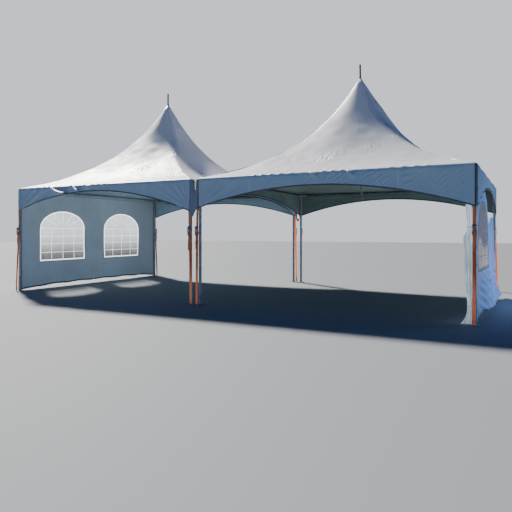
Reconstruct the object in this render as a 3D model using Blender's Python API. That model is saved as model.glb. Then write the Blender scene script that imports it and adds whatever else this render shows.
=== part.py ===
"""Marquee tent: two square high-peak frame tents side by side, with a rain gutter between them.

Metres, +Z up. The origin is on the ground at the middle of the pair. +X runs along the pair, and
the open front faces -Y. Each tent, called a bay here, has four tube legs on foot plates, four eave
tubes joined by corner fittings, crossed cables that carry a king pole, four roof panels with their
arched valances, and ratchet straps to ground stakes. The left bay has a window wall on its outer
side. The right bay's wall is half unhooked: it hangs slack, and the rest is bunched up by its leg.
"""

import math

import bmesh
import bpy
import numpy as np
from mathutils import Matrix, Vector

# Overall size of one bay, over its fabric
BAY_SIDE = 5.0
BAY_GAP = 0.14
EAVE_HEIGHT = 2.43
PEAK_RISE = 2.22
PROFILE_SWEEP = 2.03

# Fabric thicknesses, thicker than the real vinyl
CANVAS = 0.004
WALL_SHEET = 0.004
PANE_SHEET = 0.002

# The gap that stays between pieces that touch
CLEAR = 0.0003

# Valance: its lower edge is an arch from corner to corner
VALANCE_DROP = 0.60
ARCH_RISE = 0.41

# Frame tubes, corner fittings and foot plates
TUBE_RADIUS = 0.030
KNUCKLE_RADIUS = 0.033
FITTING_ARM = 0.16
LUG_REACH = 0.060
LUG_WIDTH = 0.012
LUG_HEIGHT = 0.040
LUG_DROP = 0.070
PLATE_SIDE = 0.15
PLATE_THICKNESS = 0.008
SOCKET_RADIUS = 0.032
SOCKET_HEIGHT = 0.060

# King pole, its cap and the crossed cables: its foot is below the eave, its shoulder below the
# peak, and its spike stands above the peak
POLE_RADIUS = 0.025
SPIKE_RADIUS = 0.019
POLE_FOOT_DROP = 0.28
POLE_SHOULDER_DROP = 0.35
SPIKE_RISE = 0.33
CUP_RADIUS = 0.045
CUP_HEIGHT = 0.050
CABLE_RADIUS = 0.005

# Rain gutter between the bays, by how far each part of it is below the eave
GUTTER_LIP_DROP = 0.02
GUTTER_SAG = 0.060
TONGUE_WIDTH = 0.180
TONGUE_SHOULDER_DROP = 0.53
TONGUE_TIP_DROP = 0.735
TONGUE_TIP_WIDTH = 0.020

# Side wall of the left bay, whose hem rises between its corners, and its two arched windows, which
# both stand a little towards its front
WALL_HEM_LIFT = 0.075
WINDOW_WIDTH = 1.42
WINDOW_OFFSET = 1.08
WINDOW_SHIFT = -0.10
WINDOW_SILL = 0.68
WINDOW_TOP_DROP = 0.505
WINDOW_ARCH = 0.435

# Slack side wall of the right bay, by distance from its front end
SLACK_LENGTH = 3.82
SLACK_TOP_HELD = 1.10
SLACK_TOP_FALLEN = 2.55
SLACK_TOP_DROP = 0.86
SLACK_FLAT_LENGTH = 1.70
SLACK_FLARE = 0.115
SLACK_HEM_LIFT = 0.14
SLACK_FOLD_DEPTH = 0.030
SLACK_FOLD_LENGTH = 0.62
SLACK_WINDOW_START = 0.30
SLACK_WINDOW_WIDTH = 1.36
SLACK_WINDOW_SILL = 0.80
SLACK_WINDOW_TOP_DROP = 0.55
SLACK_WINDOW_ARCH = 0.46

# Bunched part of the right wall: its width at each share of its height, its depth, and how far
# its top is below the eave tube
BUNCH_WIDTHS = (
    (0.00, 0.170),
    (0.03, 0.120),
    (0.09, 0.060),
    (0.20, 0.052),
    (0.33, 0.070),
    (0.46, 0.068),
    (0.55, 0.100),
    (0.61, 0.128),
    (0.68, 0.058),
    (0.80, 0.060),
    (1.00, 0.080),
)
BUNCH_DEPTH = 0.064
BUNCH_TOP_DROP = 0.135

# Ratchet straps and ground stakes
STRAP_WIDTH = 0.048
STRAP_THICKNESS = 0.0025
STRAP_TOP_DROP = 0.050
STRAP_HOOK_HEIGHT = 0.020
RATCHET_WIDTH = 0.060
RATCHET_DEPTH = 0.036
RATCHET_LENGTH = 0.120
RATCHET_HEIGHT = 1.38
DRUM_RADIUS = 0.021
DRUM_WIDTH = 0.078
STAKE_RADIUS = 0.012
STAKE_HEIGHT = 0.105

# How far each strap stands to the side of its leg, at its top and at its stake (towards +X)
STRAP_SHIFTS = {
    "left_front_outer": (0.000, -0.015),
    "left_front_inner": (-0.010, 0.080),
    "right_front_inner": (-0.0102, -0.014),
    "right_front_outer": (0.008, 0.006),
    "left_back_outer": (0.000, 0.020),
    "left_back_inner": (0.0102, 0.045),
    "right_back_inner": (-0.0102, -0.040),
    "right_back_outer": (0.000, 0.050),
}

# Facets
TUBE_SIDES = 16
CABLE_SIDES = 8
ROOF_ROWS = 10
ROOF_COLUMNS = 11
VALANCE_ROWS = 3
ARCH_STEPS = 12
HEM_STEPS = 12
SLACK_ROWS = 7
SLACK_COLUMNS = 20
BUNCH_SIDES = 12
TROUGH_STEPS = 6

# Worked out from the sizes above
HALF = BAY_SIDE / 2
BAY_OFFSET = (BAY_SIDE + BAY_GAP) / 2
FRAME_INSET = CANVAS + CLEAR + WALL_SHEET + CLEAR + KNUCKLE_RADIUS
LEG_OFFSET = HALF - FRAME_INSET
CROWN_LEVEL = (SPIKE_RADIUS + CLEAR) / HALF
INNER_EAVE_LEVEL = 1 - CANVAS / HALF
STAKE_OFFSET = LEG_OFFSET + PLATE_SIDE / 2 + CLEAR + STAKE_RADIUS
HEM_HEIGHT = PLATE_THICKNESS + CLEAR
PEAK_HEIGHT = EAVE_HEIGHT + PEAK_RISE
VALANCE_CORNER_HEIGHT = EAVE_HEIGHT - VALANCE_DROP

BAYS = {"left": -1, "right": 1}
ENDS = {"front": -1, "back": 1}


def roof_height(level):
    """Height of the roof's outer face at a level, from 0 on the pole's axis to 1 at the eave.

    A level's section is a circle blended into a square, and its hip lies at
    hip = level * ((1 - s) / sqrt 2 + s), where s = 1 - (1 - level)^2 is how square it is. The
    height falls with the hip as eave + rise * (e^(-k hip) - e^(-k)) / (1 - e^(-k)).
    """
    square = 1 - (1 - level) ** 2
    hip = level * ((1 - square) / math.sqrt(2) + square)
    fall = (np.exp(-PROFILE_SWEEP * hip) - math.exp(-PROFILE_SWEEP)) / (1 - math.exp(-PROFILE_SWEEP))
    return EAVE_HEIGHT + PEAK_RISE * fall


def roof_slope(level):
    """Steepness of the roof at the middle of a side, as fall over run."""
    step = 1e-4
    return (roof_height(level - step) - roof_height(level + step)) / (2 * step * HALF)


def roof_underside(level):
    """Height of the roof's inner face at a level."""
    return roof_height(level) - CANVAS * np.sqrt(1 + roof_slope(level) ** 2)


BEAM_LEVEL = LEG_OFFSET / HALF
BEAM_HEIGHT = (
    float(roof_underside(BEAM_LEVEL)) - KNUCKLE_RADIUS * math.hypot(1, float(roof_slope(BEAM_LEVEL))) - CLEAR
)


def clear_scene():
    """Remove every object that the file holds."""
    for existing in list(bpy.data.objects):
        bpy.data.objects.remove(existing, do_unlink=True)


def make_material(name, colour, roughness, metallic=0.0, alpha=1.0):
    """A Principled BSDF material of one colour."""
    material = bpy.data.materials.new(name)
    material.use_nodes = True
    shader = material.node_tree.nodes["Principled BSDF"]
    shader.inputs["Base Color"].default_value = (*colour, 1.0)
    shader.inputs["Roughness"].default_value = roughness
    shader.inputs["Metallic"].default_value = metallic
    shader.inputs["Alpha"].default_value = alpha
    material.diffuse_color = (*colour, alpha)
    return material


def place(name, mesh, material, location=(0, 0, 0), turn=0.0):
    """Put a mesh in the scene as a named object, turned about the vertical."""
    piece = bpy.data.objects.new(name, mesh)
    bpy.context.scene.collection.objects.link(piece)
    piece.location = location
    piece.rotation_euler = (0, 0, turn)
    if not mesh.materials:
        mesh.materials.append(material)
    return piece


def finish_mesh(name, shape, smooth=False):
    """Turn a bmesh into a mesh whose faces point out."""
    bmesh.ops.recalc_face_normals(shape, faces=shape.faces)
    mesh = bpy.data.meshes.new(name)
    shape.to_mesh(mesh)
    shape.free()
    if smooth:
        mesh.shade_smooth()
        mesh.set_sharp_from_angle(angle=math.radians(40))
    return mesh


def mesh_from(name, points, faces, smooth=False):
    """A mesh from a list of points and of faces."""
    shape = bmesh.new()
    corners = [shape.verts.new(point) for point in points]
    for face in faces:
        shape.faces.new([corners[index] for index in face])
    return finish_mesh(name, shape, smooth)


def sheet_mesh(name, outer, inner):
    """A closed sheet from two grids of points, one for each face, joined along their edges."""
    rows, columns = outer.shape[:2]
    count = rows * columns
    points = np.concatenate([outer.reshape(-1, 3), inner.reshape(-1, 3)])
    faces = []
    for row in range(rows - 1):
        for column in range(columns - 1):
            start = row * columns + column
            quad = [start, start + 1, start + columns + 1, start + columns]
            faces.append(quad)
            faces.append([index + count for index in reversed(quad)])
    top = list(range(columns))
    right = [row * columns + columns - 1 for row in range(1, rows)]
    bottom = [(rows - 1) * columns + column for column in range(columns - 2, -1, -1)]
    left = [row * columns for row in range(rows - 2, 0, -1)]
    rim = top + right + bottom + left
    for first, second in zip(rim, rim[1:] + rim[:1]):
        faces.append([second, first, first + count, second + count])
    return mesh_from(name, points, faces, smooth=True)


def loft_mesh(name, rings):
    """A closed body through rings of points, with flat ends."""
    count = len(rings[0])
    points = [point for ring in rings for point in ring]
    faces = [list(range(count)), list(range(len(points) - count, len(points)))]
    for level in range(len(rings) - 1):
        for index in range(count):
            first = level * count + index
            second = level * count + (index + 1) % count
            faces.append([first, second, second + count, first + count])
    return mesh_from(name, points, faces, smooth=True)


def turned_mesh(name, profile, sides=TUBE_SIDES):
    """A body turned about the vertical, from (radius, height) pairs, with flat ends."""
    angles = [2 * math.pi * index / sides for index in range(sides)]
    rings = [
        [(radius * math.cos(angle), radius * math.sin(angle), height) for angle in angles]
        for radius, height in profile
    ]
    return loft_mesh(name, rings)


def rod_mesh(name, start, end, radius, sides=TUBE_SIDES):
    """A round rod between two points."""
    start = Vector(start)
    run = Vector(end) - start
    shape = bmesh.new()
    turn = run.to_track_quat("Z", "Y").to_matrix().to_4x4()
    where = Matrix.Translation(start + run / 2) @ turn
    bmesh.ops.create_cone(
        shape, cap_ends=True, segments=sides, radius1=radius, radius2=radius, depth=run.length, matrix=where
    )
    return finish_mesh(name, shape, smooth=True)


def box_mesh(name, low, high):
    """A box between two corners."""
    low = Vector(low)
    high = Vector(high)
    shape = bmesh.new()
    size = Matrix.Diagonal((*(high - low), 1.0))
    bmesh.ops.create_cube(shape, size=1.0, matrix=Matrix.Translation((low + high) / 2) @ size)
    return finish_mesh(name, shape)


def outline_mesh(name, outline, near, far):
    """A slab whose outline is given in (y, z), from x = near to x = far."""
    return loft_mesh(name, [[(near, y, z) for y, z in outline], [(far, y, z) for y, z in outline]])


def united_mesh(name, meshes):
    """One closed body from meshes that run into each other."""
    helpers = [place(f"{name}_helper", mesh, None) for mesh in meshes]
    body = helpers[0]
    for helper in helpers[1:]:
        union = body.modifiers.new("union", "BOOLEAN")
        union.operation = "UNION"
        union.object = helper
    bpy.context.view_layer.update()
    result = bpy.data.meshes.new_from_object(body.evaluated_get(bpy.context.evaluated_depsgraph_get()))
    result.name = name
    result.materials.clear()
    for helper in helpers:
        bpy.data.objects.remove(helper, do_unlink=True)
    return result


def arch_outline(start, width, sill, top, arch, inset=0.0):
    """A window's outline in (y, z): a sill, two sides and half an ellipse over them."""
    half_width = width / 2 - inset
    middle = start + width / 2
    spring = top - arch
    outline = [(middle - half_width, sill + inset), (middle + half_width, sill + inset)]
    for step in range(ARCH_STEPS + 1):
        angle = math.pi * step / ARCH_STEPS
        height = spring + (arch - inset) * math.sin(angle)
        outline.append((middle + half_width * math.cos(angle), height))
    return outline


def cut_window(wall, outline, near, far):
    """Cut an arched window through a wall, with a cutter that isn't part of the tent."""
    cutter = place(f"{wall.name}_cutter", outline_mesh("cutter", outline, near, far), None)
    cutter.hide_render = True
    cutter.display_type = "WIRE"
    cut = wall.modifiers.new("window", "BOOLEAN")
    cut.operation = "DIFFERENCE"
    cut.object = cutter


def roof_panel_mesh():
    """One roof panel that faces -Y, with its valance, around a bay's own middle.

    Down the roof a level's section runs from hip to hip between a circle (sin a, -cos a) and a
    square (tan a, -1), for a from -45 to 45 degrees. Below the eave the sheet hangs straight
    down to the arch z = corner + rise * (1 - (x / half)^2).
    """
    angle = np.linspace(-math.pi / 4, math.pi / 4, ROOF_COLUMNS)
    level = CROWN_LEVEL + (1 - CROWN_LEVEL) * np.linspace(0, 1, ROOF_ROWS) ** 1.5

    def roof_grid(levels, heights):
        square = (1 - (1 - levels) ** 2)[:, None]
        across = (1 - square) * np.sin(angle) + square * np.tan(angle)
        out = (1 - square) * np.cos(angle) + square
        flat = HALF * levels[:, None]
        return np.stack([flat * across, -flat * out, np.repeat(heights[:, None], ROOF_COLUMNS, 1)], axis=2)

    def valance_grid(reach, top):
        drop = np.linspace(0, 1, VALANCE_ROWS + 1)[1:, None]
        hem = VALANCE_CORNER_HEIGHT + ARCH_RISE * (1 - np.tan(angle) ** 2)
        height = top + drop * (hem - top)
        across = np.broadcast_to(reach * np.tan(angle), height.shape)
        return np.stack([across, np.full(height.shape, -reach), height], axis=2)

    inner_level = CROWN_LEVEL + (level - CROWN_LEVEL) * (INNER_EAVE_LEVEL - CROWN_LEVEL) / (1 - CROWN_LEVEL)
    inner_height = roof_underside(inner_level)
    outer = np.concatenate([roof_grid(level, roof_height(level)), valance_grid(HALF, EAVE_HEIGHT)])
    inner = np.concatenate(
        [roof_grid(inner_level, inner_height), valance_grid(HALF - CANVAS, inner_height[-1])]
    )
    seam = CLEAR / 2 / math.sqrt(2)
    for grid in (outer, inner):
        grid[:, 0] += (seam, -seam, 0)
        grid[:, -1] += (-seam, -seam, 0)
    return sheet_mesh("roof_panel", outer, inner)


def leg_mesh():
    """A tube leg in its welded socket on a square foot plate."""
    top = BEAM_HEIGHT - FITTING_ARM - CLEAR
    tube = turned_mesh(
        "leg_tube",
        [
            (SOCKET_RADIUS, PLATE_THICKNESS / 2),
            (SOCKET_RADIUS, SOCKET_HEIGHT),
            (TUBE_RADIUS, SOCKET_HEIGHT),
            (TUBE_RADIUS, top),
        ],
    )
    half = PLATE_SIDE / 2
    plate = box_mesh("foot_plate", (-half, -half, 0), (half, half, PLATE_THICKNESS))
    return united_mesh("leg", [plate, tube])


def fitting_mesh():
    """A three-way corner fitting around its own middle, with arms to +X, +Y and down."""
    ball = bmesh.new()
    bmesh.ops.create_uvsphere(ball, u_segments=TUBE_SIDES, v_segments=TUBE_SIDES // 2, radius=KNUCKLE_RADIUS)
    arms = [
        rod_mesh("arm", (0, 0, 0), end, TUBE_RADIUS)
        for end in ((FITTING_ARM, 0, 0), (0, FITTING_ARM, 0), (0, 0, -FITTING_ARM))
    ]
    lug = box_mesh(
        "lug",
        (0, -LUG_WIDTH / 2, -LUG_DROP - LUG_HEIGHT / 2),
        (LUG_REACH, LUG_WIDTH / 2, -LUG_DROP + LUG_HEIGHT / 2),
    )
    lug.transform(Matrix.Rotation(math.pi / 4, 4, "Z"))
    return united_mesh("corner_fitting", [finish_mesh("knuckle", ball, smooth=True), *arms, lug])


def cross_cables_mesh():
    """Four cables from the corner lugs to the cup under the king pole, around a bay's middle."""
    cup_low = EAVE_HEIGHT - POLE_FOOT_DROP - CLEAR - CUP_HEIGHT
    cup = turned_mesh("cup", [(CUP_RADIUS, cup_low), (CUP_RADIUS, cup_low + CUP_HEIGHT)])
    reach = LEG_OFFSET - (LUG_REACH + 2 * CLEAR) / math.sqrt(2)
    cables = [
        rod_mesh(
            "cable",
            (0, 0, cup_low + CUP_HEIGHT / 2),
            (across * reach, along * reach, BEAM_HEIGHT - LUG_DROP),
            CABLE_RADIUS,
            CABLE_SIDES,
        )
        for across in (-1, 1)
        for along in (-1, 1)
    ]
    return united_mesh("cross_cables", [cup, *cables])


def gutter_mesh():
    """A sagging trough z = lip - sag * (1 - (x / half)^2) with a pointed tongue at each end."""
    half = BAY_GAP / 2 - CLEAR
    reach = HALF + CLEAR + CANVAS
    across = np.linspace(-half, half, TROUGH_STEPS + 1)
    upper = np.empty((TROUGH_STEPS + 1, 2, 3))
    upper[..., 0] = across[:, None]
    upper[..., 1] = (-reach, reach)
    lip = EAVE_HEIGHT - GUTTER_LIP_DROP
    upper[..., 2] = (lip - GUTTER_SAG * (1 - (across / half) ** 2))[:, None]
    trough = sheet_mesh("trough", upper, upper - (0, 0, CANVAS))
    pieces = [trough]
    widths = (
        (lip - GUTTER_SAG - CANVAS / 2, TONGUE_WIDTH),
        (EAVE_HEIGHT - TONGUE_SHOULDER_DROP, TONGUE_WIDTH),
        (EAVE_HEIGHT - TONGUE_TIP_DROP, TONGUE_TIP_WIDTH),
    )
    for end in ENDS.values():
        face = np.array([[(-width / 2, end * reach, z), (width / 2, end * reach, z)] for z, width in widths])
        pieces.append(sheet_mesh("tongue", face, face - (0, end * CANVAS, 0)))
    return united_mesh("rain_gutter", pieces)


def side_wall_mesh():
    """The left bay's side wall, a full sheet from the eave tube down to the foot plates.

    Its hem rises between the plates as lift * (1 - (y / half)^4).
    """
    outside = -BAY_OFFSET - HALF + CANVAS + CLEAR
    half = HALF - CANVAS - CLEAR
    across = np.linspace(-half, half, HEM_STEPS + 1)
    rise = np.array([0.0, 1.0])[:, None]
    hem = HEM_HEIGHT + WALL_HEM_LIFT * (1 - (across / half) ** 4)
    outer = np.empty((2, HEM_STEPS + 1, 3))
    outer[..., 0] = outside
    outer[..., 1] = across
    outer[..., 2] = hem + rise * (BEAM_HEIGHT - hem)
    return sheet_mesh("side_wall", outer, outer + (WALL_SHEET, 0, 0))


def slack_wall_grid(outward):
    """One face of the right bay's slack wall, a distance outward from its middle.

    Along its length s the top edge falls smoothly from the eave tube by its drop. Past its flat
    stretch the sheet leans out by flare * r^2 * (1 - v)^2, waves by depth * r * sin(2 pi s / fold),
    and its hem lifts by lift * r^3, where r runs from 0 to 1 along the loose stretch and v from
    the hem, 0, to the top edge, 1.
    """
    start = -(HALF - CANVAS - CLEAR)
    run = np.linspace(0, SLACK_LENGTH, SLACK_COLUMNS)
    rise = np.linspace(0, 1, SLACK_ROWS)[:, None]
    loose = np.clip((run - SLACK_FLAT_LENGTH) / (SLACK_LENGTH - SLACK_FLAT_LENGTH), 0, 1)
    fallen = np.clip((run - SLACK_TOP_HELD) / (SLACK_TOP_FALLEN - SLACK_TOP_HELD), 0, 1)
    top = BEAM_HEIGHT - SLACK_TOP_DROP * fallen**2 * (3 - 2 * fallen)
    hem = HEM_HEIGHT + SLACK_HEM_LIFT * loose**3
    wave = SLACK_FOLD_DEPTH * loose * np.sin(2 * math.pi * (run - SLACK_FLAT_LENGTH) / SLACK_FOLD_LENGTH)
    middle = BAY_OFFSET + HALF - CANVAS - CLEAR - WALL_SHEET / 2
    grid = np.empty((SLACK_ROWS, SLACK_COLUMNS, 3))
    grid[..., 0] = middle + outward + wave - SLACK_FOLD_DEPTH * loose + SLACK_FLARE * loose**2 * (1 - rise) ** 2
    grid[..., 1] = start + run
    grid[..., 2] = hem + rise * (top - hem)
    return grid


def bunch_mesh():
    """The bunched part of the right wall, on the foot plate and beside its front leg."""
    against = BAY_OFFSET + LEG_OFFSET - SOCKET_RADIUS - CLEAR
    middle = -LEG_OFFSET
    bunch_height = BEAM_HEIGHT - BUNCH_TOP_DROP - HEM_HEIGHT
    angles = [2 * math.pi * index / BUNCH_SIDES for index in range(BUNCH_SIDES)]
    rings = [
        [
            (
                against - width / 2 + width / 2 * math.cos(angle),
                middle + BUNCH_DEPTH / 2 * math.sin(angle),
                HEM_HEIGHT + share * bunch_height,
            )
            for angle in angles
        ]
        for share, width in BUNCH_WIDTHS
    ]
    return loft_mesh("bunch", rings)


def strap_mesh(name, leg_x, end, shifts):
    """A ratchet strap in front of its leg, down inside the valance and out to its stake."""
    held = LEG_OFFSET + TUBE_RADIUS + CLEAR + STRAP_THICKNESS / 2
    staked = STAKE_OFFSET + STAKE_RADIUS + CLEAR + STRAP_THICKNESS / 2
    upper_x = leg_x + shifts[0]
    lower_x = leg_x + shifts[1]
    path = (
        (upper_x, held, BEAM_HEIGHT - STRAP_TOP_DROP),
        (upper_x, held, VALANCE_CORNER_HEIGHT),
        (lower_x, staked, STAKE_HEIGHT),
        (lower_x, staked, STRAP_HOOK_HEIGHT),
    )
    half_width = STRAP_WIDTH / 2
    half_thickness = STRAP_THICKNESS / 2
    face = np.array(
        [[(x - half_width, end * out, z), (x + half_width, end * out, z)] for x, out, z in path]
    )
    webbing = sheet_mesh(name, face + (0, end * half_thickness, 0), face - (0, end * half_thickness, 0))
    share = (VALANCE_CORNER_HEIGHT - RATCHET_HEIGHT) / (VALANCE_CORNER_HEIGHT - STAKE_HEIGHT)
    x = upper_x + share * (lower_x - upper_x)
    out = held + share * (staked - held)
    near = (x - RATCHET_WIDTH / 2, end * (out - half_thickness), RATCHET_HEIGHT - RATCHET_LENGTH / 2)
    far = (x + RATCHET_WIDTH / 2, end * (out + RATCHET_DEPTH), RATCHET_HEIGHT + RATCHET_LENGTH / 2)
    low = [min(pair) for pair in zip(near, far)]
    high = [max(pair) for pair in zip(near, far)]
    drum_y = end * (out + RATCHET_DEPTH / 2)
    drum = rod_mesh(
        "drum",
        (x - DRUM_WIDTH / 2, drum_y, RATCHET_HEIGHT),
        (x + DRUM_WIDTH / 2, drum_y, RATCHET_HEIGHT),
        DRUM_RADIUS,
        CABLE_SIDES,
    )
    return united_mesh(name, [webbing, box_mesh("ratchet", low, high), drum])


def build_bay(bay, side, shared, finishes):
    """Frame, roof panels, straps and stakes of one bay."""
    middle = side * BAY_OFFSET
    place(f"king_pole_{bay}", shared["pole"], finishes["pole"], (middle, 0, 0))
    place(f"cross_cables_{bay}", shared["cables"], finishes["steel"], (middle, 0, 0))
    quarters = {"front": 0, "outer" if side > 0 else "inner": 1, "back": 2, "inner" if side > 0 else "outer": 3}
    for where, quarter in quarters.items():
        turn = quarter * math.pi / 2
        place(f"roof_panel_{bay}_{where}", shared["panel"], finishes["canvas"], (middle, 0, 0), turn)
        place(f"eave_tube_{bay}_{where}", shared["beam"], finishes["tube"], (middle, 0, 0), turn)
    for end_name, end in ENDS.items():
        for place_name, across in (("outer", side), ("inner", -side)):
            corner = f"{bay}_{end_name}_{place_name}"
            leg_x = middle + across * LEG_OFFSET
            leg_y = end * LEG_OFFSET
            place(f"leg_{corner}", shared["leg"], finishes["tube"], (leg_x, leg_y, 0))
            turn = {(-1, -1): 0, (1, -1): 1, (1, 1): 2, (-1, 1): 3}[(across, end)] * math.pi / 2
            fitting = place(f"corner_fitting_{corner}", shared["fitting"], finishes["fitting"])
            fitting.location = (leg_x, leg_y, BEAM_HEIGHT)
            fitting.rotation_euler = (0, 0, turn)
            shifts = STRAP_SHIFTS[corner]
            strap = strap_mesh(f"ratchet_strap_{corner}", leg_x, end, shifts)
            place(f"ratchet_strap_{corner}", strap, finishes["strap"])
            stake_at = (leg_x + shifts[1], end * STAKE_OFFSET, 0)
            place(f"stake_{corner}", shared["stake"], finishes["steel"], stake_at)


def build_walls(finishes):
    """The left bay's window wall, and the right bay's slack wall with its bunched end."""
    wall = place("side_wall_left", side_wall_mesh(), finishes["wall"])
    outside = -BAY_OFFSET - HALF + CANVAS + CLEAR
    pane_near = outside + (WALL_SHEET - PANE_SHEET) / 2
    for end_name, end in ENDS.items():
        start = WINDOW_SHIFT + end * WINDOW_OFFSET - WINDOW_WIDTH / 2
        sizes = (start, WINDOW_WIDTH, WINDOW_SILL, EAVE_HEIGHT - WINDOW_TOP_DROP, WINDOW_ARCH)
        cut_window(wall, arch_outline(*sizes), outside - WALL_SHEET, outside + 2 * WALL_SHEET)
        pane = outline_mesh("pane", arch_outline(*sizes, inset=CLEAR), pane_near, pane_near + PANE_SHEET)
        place(f"window_left_{end_name}", pane, finishes["pane"])

    half = WALL_SHEET / 2
    slack = place("side_wall_right", sheet_mesh("slack", slack_wall_grid(half), slack_wall_grid(-half)), None)
    slack.data.materials.clear()
    slack.data.materials.append(finishes["wall"])
    middle = BAY_OFFSET + HALF - CANVAS - CLEAR - half
    sizes = (
        -(HALF - CANVAS - CLEAR) + SLACK_WINDOW_START,
        SLACK_WINDOW_WIDTH,
        SLACK_WINDOW_SILL,
        EAVE_HEIGHT - SLACK_WINDOW_TOP_DROP,
        SLACK_WINDOW_ARCH,
    )
    cut_window(slack, arch_outline(*sizes), middle - WALL_SHEET, middle + WALL_SHEET)
    pane = outline_mesh(
        "pane", arch_outline(*sizes, inset=CLEAR), middle - PANE_SHEET / 2, middle + PANE_SHEET / 2
    )
    place("window_right_front", pane, finishes["pane"])
    place("wall_bunch_right", bunch_mesh(), finishes["wall"])


def build_tent():
    """The whole pair of bays."""
    clear_scene()
    finishes = {
        "canvas": make_material("white_vinyl", (0.80, 0.81, 0.80), 0.50),
        "wall": make_material("wall_vinyl", (0.74, 0.77, 0.79), 0.52),
        "pane": make_material("clear_vinyl", (0.70, 0.74, 0.76), 0.12, alpha=0.35),
        "tube": make_material("aluminium_tube", (0.60, 0.62, 0.64), 0.35, metallic=0.9),
        "fitting": make_material("cast_fitting", (0.66, 0.67, 0.68), 0.40, metallic=0.9),
        "steel": make_material("galvanised_steel", (0.42, 0.43, 0.44), 0.45, metallic=0.9),
        "pole": make_material("black_pole", (0.03, 0.03, 0.035), 0.45, metallic=0.2),
        "strap": make_material("orange_webbing", (0.78, 0.17, 0.05), 0.70),
    }
    beam_reach = LEG_OFFSET - FITTING_ARM - CLEAR
    shared = {
        "panel": roof_panel_mesh(),
        "leg": leg_mesh(),
        "fitting": fitting_mesh(),
        "cables": cross_cables_mesh(),
        "beam": rod_mesh(
            "eave_tube",
            (-beam_reach, -LEG_OFFSET, BEAM_HEIGHT),
            (beam_reach, -LEG_OFFSET, BEAM_HEIGHT),
            TUBE_RADIUS,
        ),
        "pole": turned_mesh(
            "king_pole",
            [
                (POLE_RADIUS, EAVE_HEIGHT - POLE_FOOT_DROP),
                (POLE_RADIUS, PEAK_HEIGHT - POLE_SHOULDER_DROP),
                (SPIKE_RADIUS, PEAK_HEIGHT - POLE_SHOULDER_DROP + POLE_RADIUS),
                (SPIKE_RADIUS, PEAK_HEIGHT + SPIKE_RISE),
            ],
        ),
        "stake": turned_mesh("stake", [(STAKE_RADIUS, 0), (STAKE_RADIUS, STAKE_HEIGHT)]),
    }
    for bay, side in BAYS.items():
        build_bay(bay, side, shared, finishes)
    place("rain_gutter", gutter_mesh(), finishes["canvas"])
    build_walls(finishes)


build_tent()
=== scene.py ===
"""Looks of the marquee tent: two high-peak bays of white coated cloth on a tube frame.

Metres, +Z up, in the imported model's own frame: +X runs along the pair of bays, and the open front
faces -Y. Every new shape is a surface worked out with numpy, a function of two parameters or a
profile carried along a path, and its docstring gives the formula in words.
"""

import math

import bmesh
import bpy
import numpy as np
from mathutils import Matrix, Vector


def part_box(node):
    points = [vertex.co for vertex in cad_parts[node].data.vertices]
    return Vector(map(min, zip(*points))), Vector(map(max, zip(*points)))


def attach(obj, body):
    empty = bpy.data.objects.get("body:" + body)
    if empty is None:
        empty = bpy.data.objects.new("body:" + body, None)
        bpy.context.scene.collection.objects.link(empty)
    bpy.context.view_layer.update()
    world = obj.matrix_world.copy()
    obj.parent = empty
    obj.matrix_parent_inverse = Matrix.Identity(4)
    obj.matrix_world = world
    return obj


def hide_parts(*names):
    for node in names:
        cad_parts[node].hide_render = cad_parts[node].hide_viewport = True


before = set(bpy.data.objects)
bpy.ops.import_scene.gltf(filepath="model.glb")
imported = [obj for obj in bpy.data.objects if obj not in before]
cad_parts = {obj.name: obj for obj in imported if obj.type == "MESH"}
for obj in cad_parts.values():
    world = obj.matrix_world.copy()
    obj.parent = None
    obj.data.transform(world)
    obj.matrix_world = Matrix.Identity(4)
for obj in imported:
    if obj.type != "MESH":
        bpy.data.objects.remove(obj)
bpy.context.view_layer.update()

# The camera, where the photograph was taken from
CAMERA_PLACE = (5.76, -10.7151, 1.3955)
CAMERA_TURN = 0.4729
CAMERA_LENS = 36.205
CAMERA_SENSOR = 36.0
CAMERA_SHIFT = (-0.0195, -0.0467)

# Light: the way to the sun, which stands behind the left bay, and the tones round it
SUN_WAY = (-0.654, 0.412, 0.640)
SUN_STRENGTH = 8.5
SUN_WIDTH = math.radians(6)
SUN_COLOUR = (1.0, 0.965, 0.90)
FILL_PLACE = (8.3, 0.6, 0.9)
FILL_AIM = (5.1, -0.2, 0.3)
FILL_SIZE = (2.0, 0.5)
FILL_POWER = 36.0
FILL_SPREAD = math.radians(110)
FILL_COLOUR = (0.42, 0.64, 1.0)
SKY_LEFT = (0.38, 0.48, 0.60)
SKY_RIGHT = (0.11, 0.20, 0.40)
SKY_BEHIND = 0.45
SKY_TOP = (0.014, 0.044, 0.16)
SKY_TOP_RISE = 0.42
BACKDROP_COLOUR = (0.95, 1.0, 1.08)
BACKDROP_STRENGTH = 0.9
FLOOR_COLOUR = (0.27, 0.285, 0.30)
FLOOR_REACH = 60.0

# Sizes of the roof that the frame's boxes don't give
EAVE_HEIGHT = 2.43
PEAK_RISE = 2.28
PROFILE_SWEEP = 2.10
BACK_SWEEP = 0.40
ROOF_LEAN = {"left": 0.0, "right": -0.030}
HIP_ROUND = 0.14
ARCH_RISE = 0.41
CLEAR = 0.0003

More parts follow.
